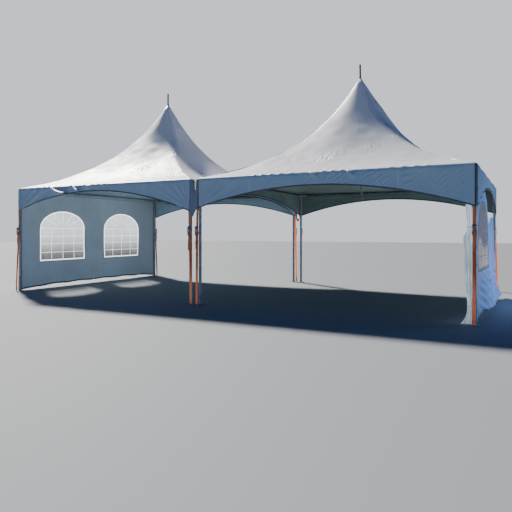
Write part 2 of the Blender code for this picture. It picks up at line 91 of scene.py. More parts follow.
# The frame's own sizes
PANEL_LOW, PANEL_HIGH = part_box("roof_panel_right_front")
HALF = -PANEL_LOW.y
BAY_OFFSET = (PANEL_LOW.x + PANEL_HIGH.x) / 2
VALANCE_CORNER = PANEL_LOW.z
VALANCE_DROP = EAVE_HEIGHT - VALANCE_CORNER
BEAM_LOW, BEAM_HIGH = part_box("eave_tube_left_front")
TUBE_RADIUS = (BEAM_HIGH.z - BEAM_LOW.z) / 2
BEAM_HEIGHT = (BEAM_HIGH.z + BEAM_LOW.z) / 2
LEG_OFFSET = -(BEAM_HIGH.y + BEAM_LOW.y) / 2
POLE_LOW, POLE_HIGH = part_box("king_pole_left")
POLE_RADIUS = (POLE_HIGH.x - POLE_LOW.x) / 2
SPIKE_RADIUS = 0.019
POLE_SHOULDER = POLE_HIGH.z - 0.68
CROWN_LEVEL = (SPIKE_RADIUS + CLEAR) / HALF

BAYS = {"left": -1, "right": 1}
ENDS = {"front": -1, "back": 1}
SIDES = ("front", "back", "outer", "inner")
CORNERS = [(bay, end, side) for bay in BAYS for end in ENDS for side in ("outer", "inner")]
DIAGONALS = [(across, along) for across in (-1, 1) for along in (-1, 1)]

# Canopy cloth and its grid
CANOPY_SHEET = 0.003
CORNER_ROUND = 0.034
EDGE_LEVEL = 0.985
EDGE_DROP = 0.038
ROOF_ROWS = 42
EDGE_ROWS = 4
VALANCE_ROWS = 44
VALANCE_CLOSENESS = 1.35
CANOPY_COLUMNS = {"left": (440, 60, 74, 76), "right": (400, 130, 74, 60)}

BLACK = (0, 0, 0)
MERGE = 1e-5
CREASE_ANGLE = math.radians(38)


def unit(vectors):
    """Vectors of length one."""
    vectors = np.asarray(vectors, float)
    return vectors / np.linalg.norm(vectors, axis=-1, keepdims=True)


def bell(x, middle, reach):
    """A bell curve, e^(-((x - middle) / reach)^2)."""
    return np.exp(-(((x - middle) / reach) ** 2))


def ease(x):
    """Rises smoothly from 0 at x = 0 to 1 at x = 1, as 3 x^2 - 2 x^3."""
    x = np.clip(x, 0, 1)
    return x * x * (3 - 2 * x)


def rolling(u, v, pitch, seed, waves=7):
    """Smooth unevenness: the mean of sine waves about a pitch long, each in its own direction."""
    dice = np.random.default_rng(seed)
    total = np.zeros(np.broadcast(u, v).shape)
    for _ in range(waves):
        angle, phase = dice.uniform(0, 2 * np.pi, 2)
        length = pitch * dice.uniform(0.7, 1.5)
        total += np.sin(2 * np.pi * (u * np.cos(angle) + v * np.sin(angle)) / length + phase)
    return total / math.sqrt(waves)


def distance_along(points, axis, around=False):
    """Mean distance along one axis of a grid of points, from its start."""
    if around:
        points = np.concatenate([points, points[:, :1]], axis=1)
    steps = np.linalg.norm(np.diff(points, axis=axis), axis=2)
    return np.concatenate([[0.0], np.cumsum(steps.mean(axis=1 - axis))])


def surface(points, around=False, slot=0):
    """Quads over a grid of points (rows, columns, 3), with a UV map in metres.

    Its faces look along rows x columns, and around joins the last column to the first.
    """
    rows, columns = points.shape[:2]
    row, column = np.indices((rows - 1, columns if around else columns - 1)).reshape(2, -1)
    after = (column + 1) % columns
    corners = np.stack(
        [
            row * columns + column,
            (row + 1) * columns + column,
            (row + 1) * columns + after,
            row * columns + after,
        ],
        axis=1,
    )
    across = distance_along(points, 1, around)
    down = distance_along(points, 0)
    u = np.stack([across[column], across[column], across[column + 1], across[column + 1]], axis=1)
    v = np.stack([down[row], down[row + 1], down[row + 1], down[row]], axis=1)
    return {
        "points": points.reshape(-1, 3),
        "corners": corners,
        "uv": np.stack([u, v], axis=2),
        "slot": np.full(len(corners), slot),
    }


def add_object(name, data):
    """A new object in the scene, with its mesh, lens or lamp."""
    made = bpy.data.objects.new(name, data)
    bpy.context.scene.collection.objects.link(made)
    return made


def build(name, parts, materials, closed=True, marks=None):
    """A smooth mesh object from surfaces; closed merges their seams and poles and turns them out."""
    starts = np.cumsum([0] + [len(part["points"]) for part in parts])
    points = np.concatenate([part["points"] for part in parts])
    corners = np.concatenate([part["corners"] + start for part, start in zip(parts, starts)])
    mesh = bpy.data.meshes.new(name)
    mesh.from_pydata(points.tolist(), [], corners.tolist())
    uv = np.concatenate([part["uv"] for part in parts])
    mesh.uv_layers.new(name="UVMap").data.foreach_set("uv", uv.ravel())
    slots = np.concatenate([part["slot"] for part in parts])
    mesh.polygons.foreach_set("material_index", slots.astype(np.int32))
    for label, values in (marks or {}).items():
        mesh.attributes.new(label, "FLOAT", "POINT").data.foreach_set("value", values.ravel())
    for material in materials:
        mesh.materials.append(material)
    if closed:
        shape = bmesh.new()
        shape.from_mesh(mesh)
        bmesh.ops.remove_doubles(shape, verts=shape.verts, dist=MERGE)
        bmesh.ops.recalc_face_normals(shape, faces=shape.faces)
        shape.to_mesh(mesh)
        shape.free()
    mesh.shade_smooth()
    mesh.set_sharp_from_angle(angle=CREASE_ANGLE)
    return add_object(name, mesh)


def dress(piece, slot, *nodes):
    """Let a piece ride on the tent and stand for the named nodes, which it hides. slot is not used."""
    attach(piece, "root")
    if nodes:
        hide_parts(*nodes)
    return piece


def thicken(piece, thickness, offset=-1.0, other_side=0):
    """Give an open sheet its thickness, and its other side another of its materials."""
    solid = piece.modifiers.new("thickness", "SOLIDIFY")
    solid.thickness = thickness
    solid.offset = offset
    solid.material_offset = other_side
    return piece


def fitting(name, parts, finishes, slot, *nodes):
    """A closed piece from surfaces, with its finishes by name, dressed."""
    return dress(build(name, parts, [FINISHES[finish] for finish in finishes]), slot, *nodes)


def cloth(name, parts, finishes, slot, thickness, *nodes, offset=-1.0, other_side=0, marks=None):
    """An open sheet from surfaces, with its finishes by name and its thickness, dressed."""
    sheet = build(name, parts, [FINISHES[finish] for finish in finishes], closed=False, marks=marks)
    return dress(thicken(sheet, thickness, offset, other_side), slot, *nodes)


def aim(points, place, along=(0, 0, 1)):
    """Points of a shape that stands on +Z, turned so that +Z runs along, and moved to its place."""
    along = unit(along)
    reference = (0.0, 1.0, 0.0) if abs(along[1]) < 0.9 else (1.0, 0.0, 0.0)
    side = unit(np.cross(reference, along))
    basis = np.stack([side, np.cross(along, side), along])
    return np.asarray(points) @ basis + np.asarray(place, float)


def turned(profile, place=(0, 0, 0), along=(0, 0, 1), sides=32, slot=0):
    """A profile of (radius, height) turned about its axis: (r cos a, r sin a, h)."""
    radius, height = np.asarray(profile, float).T[:, :, None]
    angle = 2 * np.pi * np.arange(sides) / sides
    grid = np.stack([radius * np.cos(angle), radius * np.sin(angle), height + 0 * angle], axis=2)
    return surface(aim(grid, place, along), around=True, slot=slot)


def rod(start, end, radius, sides=16, bevel=0.15, slot=0):
    """A round rod between two points, with its ends' edges broken."""
    start = np.asarray(start, float)
    run = np.asarray(end, float) - start
    length = float(np.linalg.norm(run))
    cut = bevel * radius
    profile = [
        (0, 0), (radius - cut, 0), (radius, cut), (radius, length - cut), (radius - cut, length), (0, length)
    ]
    return turned(profile, start, run, sides, slot)


def bar(middle, reach, radius, sides=16, bevel=0.15, slot=0):
    """A round rod that reaches as far to both sides of its middle."""
    middle = np.asarray(middle, float)
    return rod(middle - reach, middle + reach, radius, sides, bevel, slot)


def round_profile(radius, sides=12, lobes=0, depth=0.0):
    """A circle whose radius swells in lobes: r (1 + depth cos(lobes a))."""
    angle = 2 * np.pi * np.arange(sides) / sides
    size = radius * (1 + depth * np.cos(lobes * angle))
    return np.stack([size * np.cos(angle), size * np.sin(angle)], axis=1)


def rounded_rectangle(width, height, radius, steps=4):
    """Outline of a rectangle with round corners: four quarter circles and the sides between."""
    quarter = np.arange(4)[:, None] * np.pi / 2
    angle = (quarter + np.linspace(0, np.pi / 2, steps)).ravel()
    middle = np.repeat(quarter.ravel() + np.pi / 4, steps)
    x = np.sign(np.cos(middle)) * (width / 2 - radius) + radius * np.cos(angle)
    y = np.sign(np.sin(middle)) * (height / 2 - radius) + radius * np.sin(angle)
    return np.stack([x, y], axis=1)


def swept(path, profile, reference, scale=1.0, twist=0.0, loop=False, slot=0):
    """A profile carried along a path: p + s (x side + y over), where side is tangent x reference,
    over is side x tangent, and the profile turns by twist. A path that isn't a loop has its ends
    closed by a ring of no size."""
    path = np.asarray(path, float)
    if loop:
        tangent = unit(np.roll(path, -1, axis=0) - np.roll(path, 1, axis=0))
    else:
        tangent = unit(np.gradient(path, axis=0))
    side = unit(np.cross(tangent, reference))
    over = np.cross(side, tangent)
    size = np.broadcast_to(scale, len(path))[:, None, None]
    turn = np.broadcast_to(twist, len(path))[:, None]
    x = profile[:, 0] * np.cos(turn) - profile[:, 1] * np.sin(turn)
    y = profile[:, 0] * np.sin(turn) + profile[:, 1] * np.cos(turn)
    grid = path[:, None] + size * (x[..., None] * side[:, None] + y[..., None] * over[:, None])
    if loop:
        grid = np.concatenate([grid, grid[:1]])
    else:
        first = np.broadcast_to(path[0], grid[:1].shape)
        last = np.broadcast_to(path[-1], grid[:1].shape)
        grid = np.concatenate([first, grid, last])
    return surface(grid, around=True, slot=slot)


def slab(outline, thickness, place=(0, 0, 0), along=(0, 0, 1), bevel=0.002, slot=0):
    """An outline raised into a plate with broken edges: rings of it at rising heights, closed at
    its middle."""
    outline = np.asarray(outline, float)
    reach = np.abs(outline).max(axis=0)
    rings = [(0, 0), (1, 0), (1, bevel), (1, thickness - bevel), (1, thickness), (0, thickness)]
    shrunk = (False, True, False, False, True, False)
    grid = np.empty((len(rings), len(outline), 3))
    for index, ((size, height), small) in enumerate(zip(rings, shrunk)):
        inset = 1 - bevel / reach if small else 1.0
        grid[index, :, :2] = outline * size * inset
        grid[index, :, 2] = height
    return surface(aim(grid, place, along), around=True, slot=slot)


def ring(place, axis, major, minor, turns=24, sides=10, slot=0):
    """A torus: a circle of radius minor carried round a circle of radius major."""
    angle = 2 * np.pi * np.arange(turns) / turns
    path = np.stack([major * np.cos(angle), major * np.sin(angle), 0 * angle], axis=1)
    return swept(aim(path, place, axis), round_profile(minor, sides), unit(axis), loop=True, slot=slot)


def middle_of(node):
    """Middle of a node's box."""
    low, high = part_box(node)
    return np.array((low + high) / 2)


def bay_middle(bay):
    """Where a bay's middle is along X."""
    return BAYS[bay] * BAY_OFFSET


def add_node(tree, kind, inputs=None, **settings):
    """A shader node with its settings and its inputs, which are values or sockets."""
    made = tree.nodes.new("ShaderNode" + kind)
    for key, value in settings.items():
        setattr(made, key, value)
    for key, value in (inputs or {}).items():
        if isinstance(value, bpy.types.NodeSocket):
            tree.links.new(value, made.inputs[key])
        else:
            made.inputs[key].default_value = value
    return made


def calc(tree, operation, *values):
    """A Math node's result."""
    return add_node(tree, "Math", dict(enumerate(values)), operation=operation).outputs[0]


def opaque(colour):
    """A colour of three numbers with an alpha of 1, and anything else as it is."""
    return (*colour, 1) if isinstance(colour, tuple) and len(colour) == 3 else colour


def scaled(colour, share):
    """A colour with its numbers multiplied by a share."""
    return tuple(share * part for part in colour)


def mixed(tree, share, first, second, how="MIX"):
    """Two colours mixed by a share. A Mix node's sockets 6 and 7 take its colours."""
    inputs = {0: share, 6: opaque(first), 7: opaque(second)}
    return add_node(tree, "Mix", inputs, data_type="RGBA", blend_type=how).outputs[2]


def feed(tree, sockets, **values):
    """Values linked into sockets, with the spaces in the sockets' names written as underscores."""
    for key, value in values.items():
        tree.links.new(value, sockets[key.replace("_", " ")])


def split(tree, vector):
    """A vector's three numbers."""
    return add_node(tree, "SeparateXYZ", {0: vector}).outputs


def span(tree, value, low, high, new_low=0.0, new_high=1.0):
    """A value's range stretched to another, smoothly, and held at its ends."""
    inputs = {"Value": value, "From Min": low, "From Max": high, "To Min": new_low, "To Max": new_high}
    return add_node(tree, "MapRange", inputs, interpolation_type="SMOOTHSTEP").outputs[0]


def noise(tree, vector, scale, detail=3.0, roughness=0.5, distortion=0.0):
    """A noise texture's value."""
    inputs = {"Vector": vector, "Scale": scale, "Detail": detail, "Roughness": roughness}
    return add_node(tree, "TexNoise", {**inputs, "Distortion": distortion}).outputs[0]


def stretched(tree, vector, scale, turn=(0.0, 0.0, 0.0)):
    """Coordinates turned and stretched by a Mapping node."""
    inputs = {"Vector": vector, "Scale": scale, "Rotation": turn}
    return add_node(tree, "Mapping", inputs).outputs[0]


def node_group(name, inputs, outputs):
    """An empty shader group, as (tree, its inputs, its outputs)."""
    tree = bpy.data.node_groups.new(name, "ShaderNodeTree")
    for label, (kind, value) in inputs.items():
        socket = tree.interface.new_socket(label, in_out="INPUT", socket_type="NodeSocket" + kind)
        if value is not None:
            socket.default_value = value
    for label, kind in outputs.items():
        tree.interface.new_socket(label, in_out="OUTPUT", socket_type="NodeSocket" + kind)
    return tree, tree.nodes.new("NodeGroupInput").outputs, tree.nodes.new("NodeGroupOutput").inputs


def weave_group():
    """Coated plain weave, a checker of ups and downs: 0.5 + 0.5 sin(pi n x) sin(pi n y)."""
    inputs = {"Vector": ("Vector", None), "Threads": ("Float", 500.0)}
    tree, given, result = node_group("coated_weave", inputs, {"Height": "Float"})
    waves = []
    for part in split(tree, given["Vector"])[:2]:
        phase = calc(tree, "MULTIPLY", calc(tree, "MULTIPLY", part, given["Threads"]), math.pi)
        waves.append(calc(tree, "SINE", phase))
    crossed = calc(tree, "MULTIPLY", *waves)
    feed(tree, result, Height=calc(tree, "MULTIPLY_ADD", crossed, 0.5, 0.5))
    return tree


def creases_group():
    """Creases in stiff cloth: ridges where a stretched noise passes its middle."""
    inputs = {
        "Vector": ("Vector", None),
        "Scale": ("Float", 4.0),
        "Sharpness": ("Float", 9.0),
        "Bend": ("Float", 0.6),
    }
    tree, given, result = node_group("cloth_creases", inputs, {"Height": "Float"})
    value = noise(tree, given["Vector"], given["Scale"], 2.0, 0.45, given["Bend"])
    away = calc(tree, "ABSOLUTE", calc(tree, "SUBTRACT", value, 0.5))
    ridge = calc(tree, "SUBTRACT", 1.0, calc(tree, "MULTIPLY", away, given["Sharpness"]))
    feed(tree, result, Height=calc(tree, "MAXIMUM", ridge, 0.0))
    return tree


def weather_group():
    """Weathering: broad stains and fine streaks that run down, darkening a colour and dulling it."""
    inputs = {
        "Vector": ("Vector", None),
        "Colour": ("Color", (0.8, 0.8, 0.8, 1)),
        "Stain": ("Color", (0.4, 0.4, 0.38, 1)),
        "Amount": ("Float", 0.3),
        "Scale": ("Float", 1.5),
        "Roughness": ("Float", 0.5),
    }
    tree, given, result = node_group("weathering", inputs, {"Colour": "Color", "Roughness": "Float"})
    broad = span(tree, noise(tree, given["Vector"], given["Scale"], 4.0, 0.55), 0.42, 0.72)
    running = stretched(tree, given["Vector"], (9.0, 9.0, 0.7))
    streaks = span(tree, noise(tree, running, given["Scale"], 5.0, 0.6), 0.45, 0.75)
    share = calc(tree, "MAXIMUM", broad, calc(tree, "MULTIPLY", streaks, 0.7))
    share = calc(tree, "MULTIPLY", share, given["Amount"])
    dulled = calc(tree, "MULTIPLY_ADD", share, 0.35, given["Roughness"])
    feed(tree, result, Colour=mixed(tree, share, given["Colour"], given["Stain"]), Roughness=dulled)
    return tree


def metal_group():
    """Drawn or cast metal: long fine scratches along one way, and clouded patches."""
    inputs = {
        "Vector": ("Vector", None),
        "Colour": ("Color", (0.6, 0.6, 0.6, 1)),
        "Dull": ("Color", (0.3, 0.3, 0.3, 1)),
        "Cloud Scale": ("Float", 12.0),
        "Scratch Scale": ("Float", 60.0),
        "Roughness": ("Float", 0.35),
    }
    outputs = {"Colour": "Color", "Roughness": "Float", "Height": "Float"}
    tree, given, result = node_group("worn_metal", inputs, outputs)
    cloud = span(tree, noise(tree, given["Vector"], given["Cloud Scale"], 5.0, 0.6), 0.38, 0.68)
    drawn = stretched(tree, given["Vector"], (1.0, 1.0, 0.03))
    scratch = noise(tree, drawn, given["Scratch Scale"], 4.0, 0.7)
    share = calc(tree, "MULTIPLY_ADD", cloud, 0.55, calc(tree, "MULTIPLY", scratch, 0.35))
    tone = mixed(tree, share, given["Colour"], given["Dull"])
    rough = calc(tree, "MULTIPLY_ADD", cloud, 0.2, given["Roughness"])
    feed(tree, result, Colour=tone, Roughness=rough, Height=calc(tree, "MULTIPLY_ADD", cloud, 0.4, scratch))
    return tree


def webbing_group():
    """Strap webbing: ribs across the strap that lean one way and then the other, as a herringbone."""
    inputs = {"Vector": ("Vector", None), "Ribs": ("Float", 420.0)}
    tree, given, result = node_group("strap_weave", inputs, {"Height": "Float"})
    parts = split(tree, given["Vector"])
    along = calc(tree, "ADD", parts[1], calc(tree, "PINGPONG", parts[0], 0.006))
    phase = calc(tree, "MULTIPLY", calc(tree, "MULTIPLY", along, given["Ribs"]), math.tau)
    feed(tree, result, Height=calc(tree, "MULTIPLY_ADD", calc(tree, "SINE", phase), 0.5, 0.5))
    return tree


GROUPS = {
    "weave": weave_group(),
    "creases": creases_group(),
    "weather": weather_group(),
    "metal": metal_group(),
    "webbing": webbing_group(),
}


def grouped(tree, name, **inputs):
    """A group placed in a material, with spaces in its inputs' names written as underscores."""
    given = {key.replace("_", " "): opaque(value) for key, value in inputs.items()}
    return add_node(tree, "Group", given, node_tree=GROUPS[name]).outputs


def new_material(name, **sockets):
    """A material as (itself, its tree, its Principled shader), with values set on the shader."""
    made = bpy.data.materials.new(name)
    made.use_nodes = True
    shader = made.node_tree.nodes["Principled BSDF"]
    for key, value in sockets.items():
        shader.inputs[key.replace("_", " ")].default_value = opaque(value)
    return made, made.node_tree, shader


def raise_surface(tree, shader, *bumps):
    """Bump nodes in a row, each as (height, strength, distance), feeding the shader's Normal."""
    normal = None
    for height, strength, distance in bumps:
        inputs = {"Height": height, "Strength": strength, "Distance": distance}
        if normal is not None:
            inputs["Normal"] = normal
        normal = add_node(tree, "Bump", inputs).outputs[0]
    tree.links.new(normal, shader.inputs["Normal"])


def coordinates(tree):
    """Object coordinates and the UV map, in metres."""
    outputs = add_node(tree, "TexCoord").outputs
    return outputs["Object"], outputs["UV"]


def mark(tree, name):
    """A number that the piece's mesh carries."""
    return add_node(tree, "Attribute", attribute_name=name).outputs["Fac"]


def weathered(tree, shader, place, tone, stain, amount, scale, roughness):
    """A weathered tone as the shader's colour, its glow's colour and its roughness."""
    look = grouped(
        tree, "weather", Vector=place, Colour=tone, Stain=stain,
        Amount=amount, Scale=scale, Roughness=roughness,
    )
    colour, rough = look["Colour"], look["Roughness"]
    feed(tree, shader.inputs, Base_Color=colour, Emission_Color=colour, Roughness=rough)


def canopy_material(name, roof, valance, stain, amount, glow=0.0):
    """Coated canopy cloth: the roof's tone above the eave and the valance's below it, where the valance mark
    paints blue-grey shade, welded seams, weave, fine creases, and close puckers where the mesh's pucker mark
    says. Its glow is the light that comes through it from behind."""
    made, tree, shader = new_material(name, Specular_IOR_Level=0.42, Emission_Strength=glow)
    place, uv = coordinates(tree)
    tone = mixed(tree, mark(tree, "valance"), roof, valance)
    seam = span(tree, mark(tree, "seam"), 0.3, 0.7)
    tone = mixed(tree, calc(tree, "MULTIPLY", seam, 0.35), tone, scaled(roof, 0.78))
    weathered(tree, shader, place, tone, stain, amount, 1.3, 0.44)
    slanted = stretched(tree, place, (1.0, 1.0, 0.45), (0.0, 0.55, 0.2))
    creases = grouped(tree, "creases", Vector=slanted, Scale=2.4, Sharpness=15.0, Bend=0.6)["Height"]
    creases = calc(tree, "MULTIPLY", creases, calc(tree, "MULTIPLY_ADD", mark(tree, "valance"), 0.75, 0.25))
    close = stretched(tree, uv, (1.0, 0.30, 1.0), (0.0, 0.0, 0.35))
    pucker = grouped(tree, "creases", Vector=close, Scale=8.0, Sharpness=5.0, Bend=0.5)["Height"]
    pucker = calc(tree, "MULTIPLY", pucker, mark(tree, "pucker"))
    weave = grouped(tree, "weave", Vector=uv, Threads=520.0)["Height"]
    bumps = ((pucker, 0.9, 0.010), (creases, 0.4, 0.006), (seam, 0.5, 0.0015), (weave, 0.15, 0.0003))
    raise_surface(tree, shader, *bumps)
    return made


def wall_material(name, colour, stain, amount, glow=0.0, back=1.0, crease=(3.0, 0.45)):
    """Coated wall cloth with soft standing creases, weave and stains that rise from the hem. Its glow is the
    light that comes through it from behind, back how deep its tone is at its back, a painted shade that
    deepens toward the back edge, and crease its creases' scale and strength."""
    made, tree, shader = new_material(name, Specular_IOR_Level=0.4, Emission_Strength=glow)
    place, uv = coordinates(tree)
    _, along, height = split(tree, place)
    near_ground = span(tree, height, 0.45, 0.0, 0.0, 0.5)
    splash = calc(tree, "MULTIPLY", near_ground, noise(tree, place, 9.0, 5.0, 0.65))
    # Painted shade: the tone deepens toward the wall's back edge by the share back
    tone = mixed(tree, span(tree, along, 0.2, 2.3), colour, scaled(colour, back))
    tone = mixed(tree, splash, tone, stain)
    weathered(tree, shader, place, tone, stain, amount, 1.7, 0.5)
    slanted = stretched(tree, place, (1.0, 1.0, 0.42), (0.25, 0.0, 0.0))
    creases = grouped(tree, "creases", Vector=slanted, Scale=crease[0], Sharpness=12.0, Bend=0.8)["Height"]
    weave = grouped(tree, "weave", Vector=uv, Threads=620.0)["Height"]
    raise_surface(tree, shader, (creases, crease[1], 0.008), (weave, 0.15, 0.0003))
    return made


def tape_material(name, colour, roughness=0.55, glow=0.0):
    """Welded or sewn tape: its own weave, a little faded in patches, with the glow of light that
    comes through it."""
    lit = {"Emission_Color": colour, "Emission_Strength": glow}
    made, tree, shader = new_material(name, Roughness=roughness, **lit)
    place, uv = coordinates(tree)
    faded = tuple(min(1.0, part * 1.25 + 0.02) for part in colour)
    patches = span(tree, noise(tree, place, 6.0, 4.0), 0.4, 0.7)
    feed(tree, shader.inputs, Base_Color=mixed(tree, patches, colour, faded))
    weave = grouped(tree, "weave", Vector=uv, Threads=900.0)["Height"]
    raise_surface(tree, shader, (weave, 0.3, 0.0004))
    return made


def pane_material(name, colour, haze, glow, dust, dusty, heights):
    """Clear vinyl gone hazy: see-through, with cloudy patches, soft ripples, and the glow of light
    that its haze passes on. Dust gathers on it from the upper of two heights to the lower."""
    made, tree, shader = new_material(name, Coat_Weight=0.4, Coat_Roughness=0.12, Emission_Strength=glow)
    place, _ = coordinates(tree)
    low = span(tree, split(tree, place)[2], heights[1], heights[0])
    cloud = span(tree, noise(tree, place, 2.6, 4.0, 0.55), 0.3, 0.75)
    scuffs = span(tree, noise(tree, stretched(tree, place, (1.0, 1.0, 5.0)), 14.0, 5.0, 0.7), 0.5, 0.8)
    alpha = calc(tree, "MULTIPLY_ADD", cloud, 0.16, calc(tree, "MULTIPLY_ADD", scuffs, 0.10, haze))
    alpha = calc(tree, "MULTIPLY_ADD", low, dusty, alpha)
    rough = calc(tree, "MULTIPLY_ADD", scuffs, 0.25, 0.12)
    tone = mixed(tree, low, colour, dust)
    lit = mixed(tree, low, colour, BLACK)
    feed(tree, shader.inputs, Alpha=alpha, Base_Color=tone, Emission_Color=lit, Roughness=rough)
    ripples = noise(tree, stretched(tree, place, (1.0, 1.0, 0.6)), 5.0, 1.0)
    raise_surface(tree, shader, (ripples, 0.6, 0.02))
    return made


def metal_material(name, colour, dull, metallic, roughness, clouds=12.0, scratches=90.0, depth=0.0004):
    """Worn metal with scratches along Z and clouded patches."""
    made, tree, shader = new_material(name, Metallic=metallic)
    place, _ = coordinates(tree)
    look = grouped(
        tree, "metal", Vector=place, Colour=colour, Dull=dull,
        Cloud_Scale=clouds, Scratch_Scale=scratches, Roughness=roughness,
    )
    feed(tree, shader.inputs, Base_Color=look["Colour"], Roughness=look["Roughness"])
    raise_surface(tree, shader, (look["Height"], 0.5, depth))
    return made


def webbing_material(name, colour, faded, glow=0.0, upper=1.0):
    """Strap webbing: herringbone ribs, faded along its length, with painted shade between the ribs. Its glow
    is the sun that comes through it from behind, and upper the share of it above the knee."""
    made, tree, shader = new_material(name, Roughness=0.78, Sheen_Weight=0.25, Emission_Strength=glow)
    place, uv = coordinates(tree)
    ribs = grouped(tree, "webbing", Vector=uv, Ribs=420.0)["Height"]
    long_patches = noise(tree, stretched(tree, place, (1.0, 1.0, 0.35)), 7.0, 4.0)
    tone = mixed(tree, span(tree, long_patches, 0.35, 0.7), colour, faded)
    shade = calc(tree, "MULTIPLY_ADD", ribs, 0.25, 0.75)
    shaded = add_node(tree, "CombineColor", {0: shade, 1: shade, 2: shade}).outputs[0]
    lit = mixed(tree, span(tree, split(tree, place)[2], 0.35, 0.85, 0.0, 1.0 - upper), tone, BLACK)
    feed(tree, shader.inputs, Base_Color=mixed(tree, 1.0, tone, shaded, "MULTIPLY"), Emission_Color=lit)
    raise_surface(tree, shader, (ribs, 0.7, 0.0008))
    return made


def moulded_material(name, colour, roughness=0.45):
    """Moulded plastic or rubber with a fine grain and scuffs."""
    made, tree, shader = new_material(name)
    place, _ = coordinates(tree)
    scuffs = span(tree, noise(tree, place, 45.0, 5.0, 0.7), 0.55, 0.8, 0.0, 0.5)
    pale = tuple(0.55 * part + 0.25 for part in colour)
    rough = calc(tree, "MULTIPLY_ADD", scuffs, 0.4, roughness)
    feed(tree, shader.inputs, Base_Color=mixed(tree, scuffs, colour, pale), Roughness=rough)
    raise_surface(tree, shader, (noise(tree, place, 900.0, 2.0), 0.25, 0.0003))
    return made


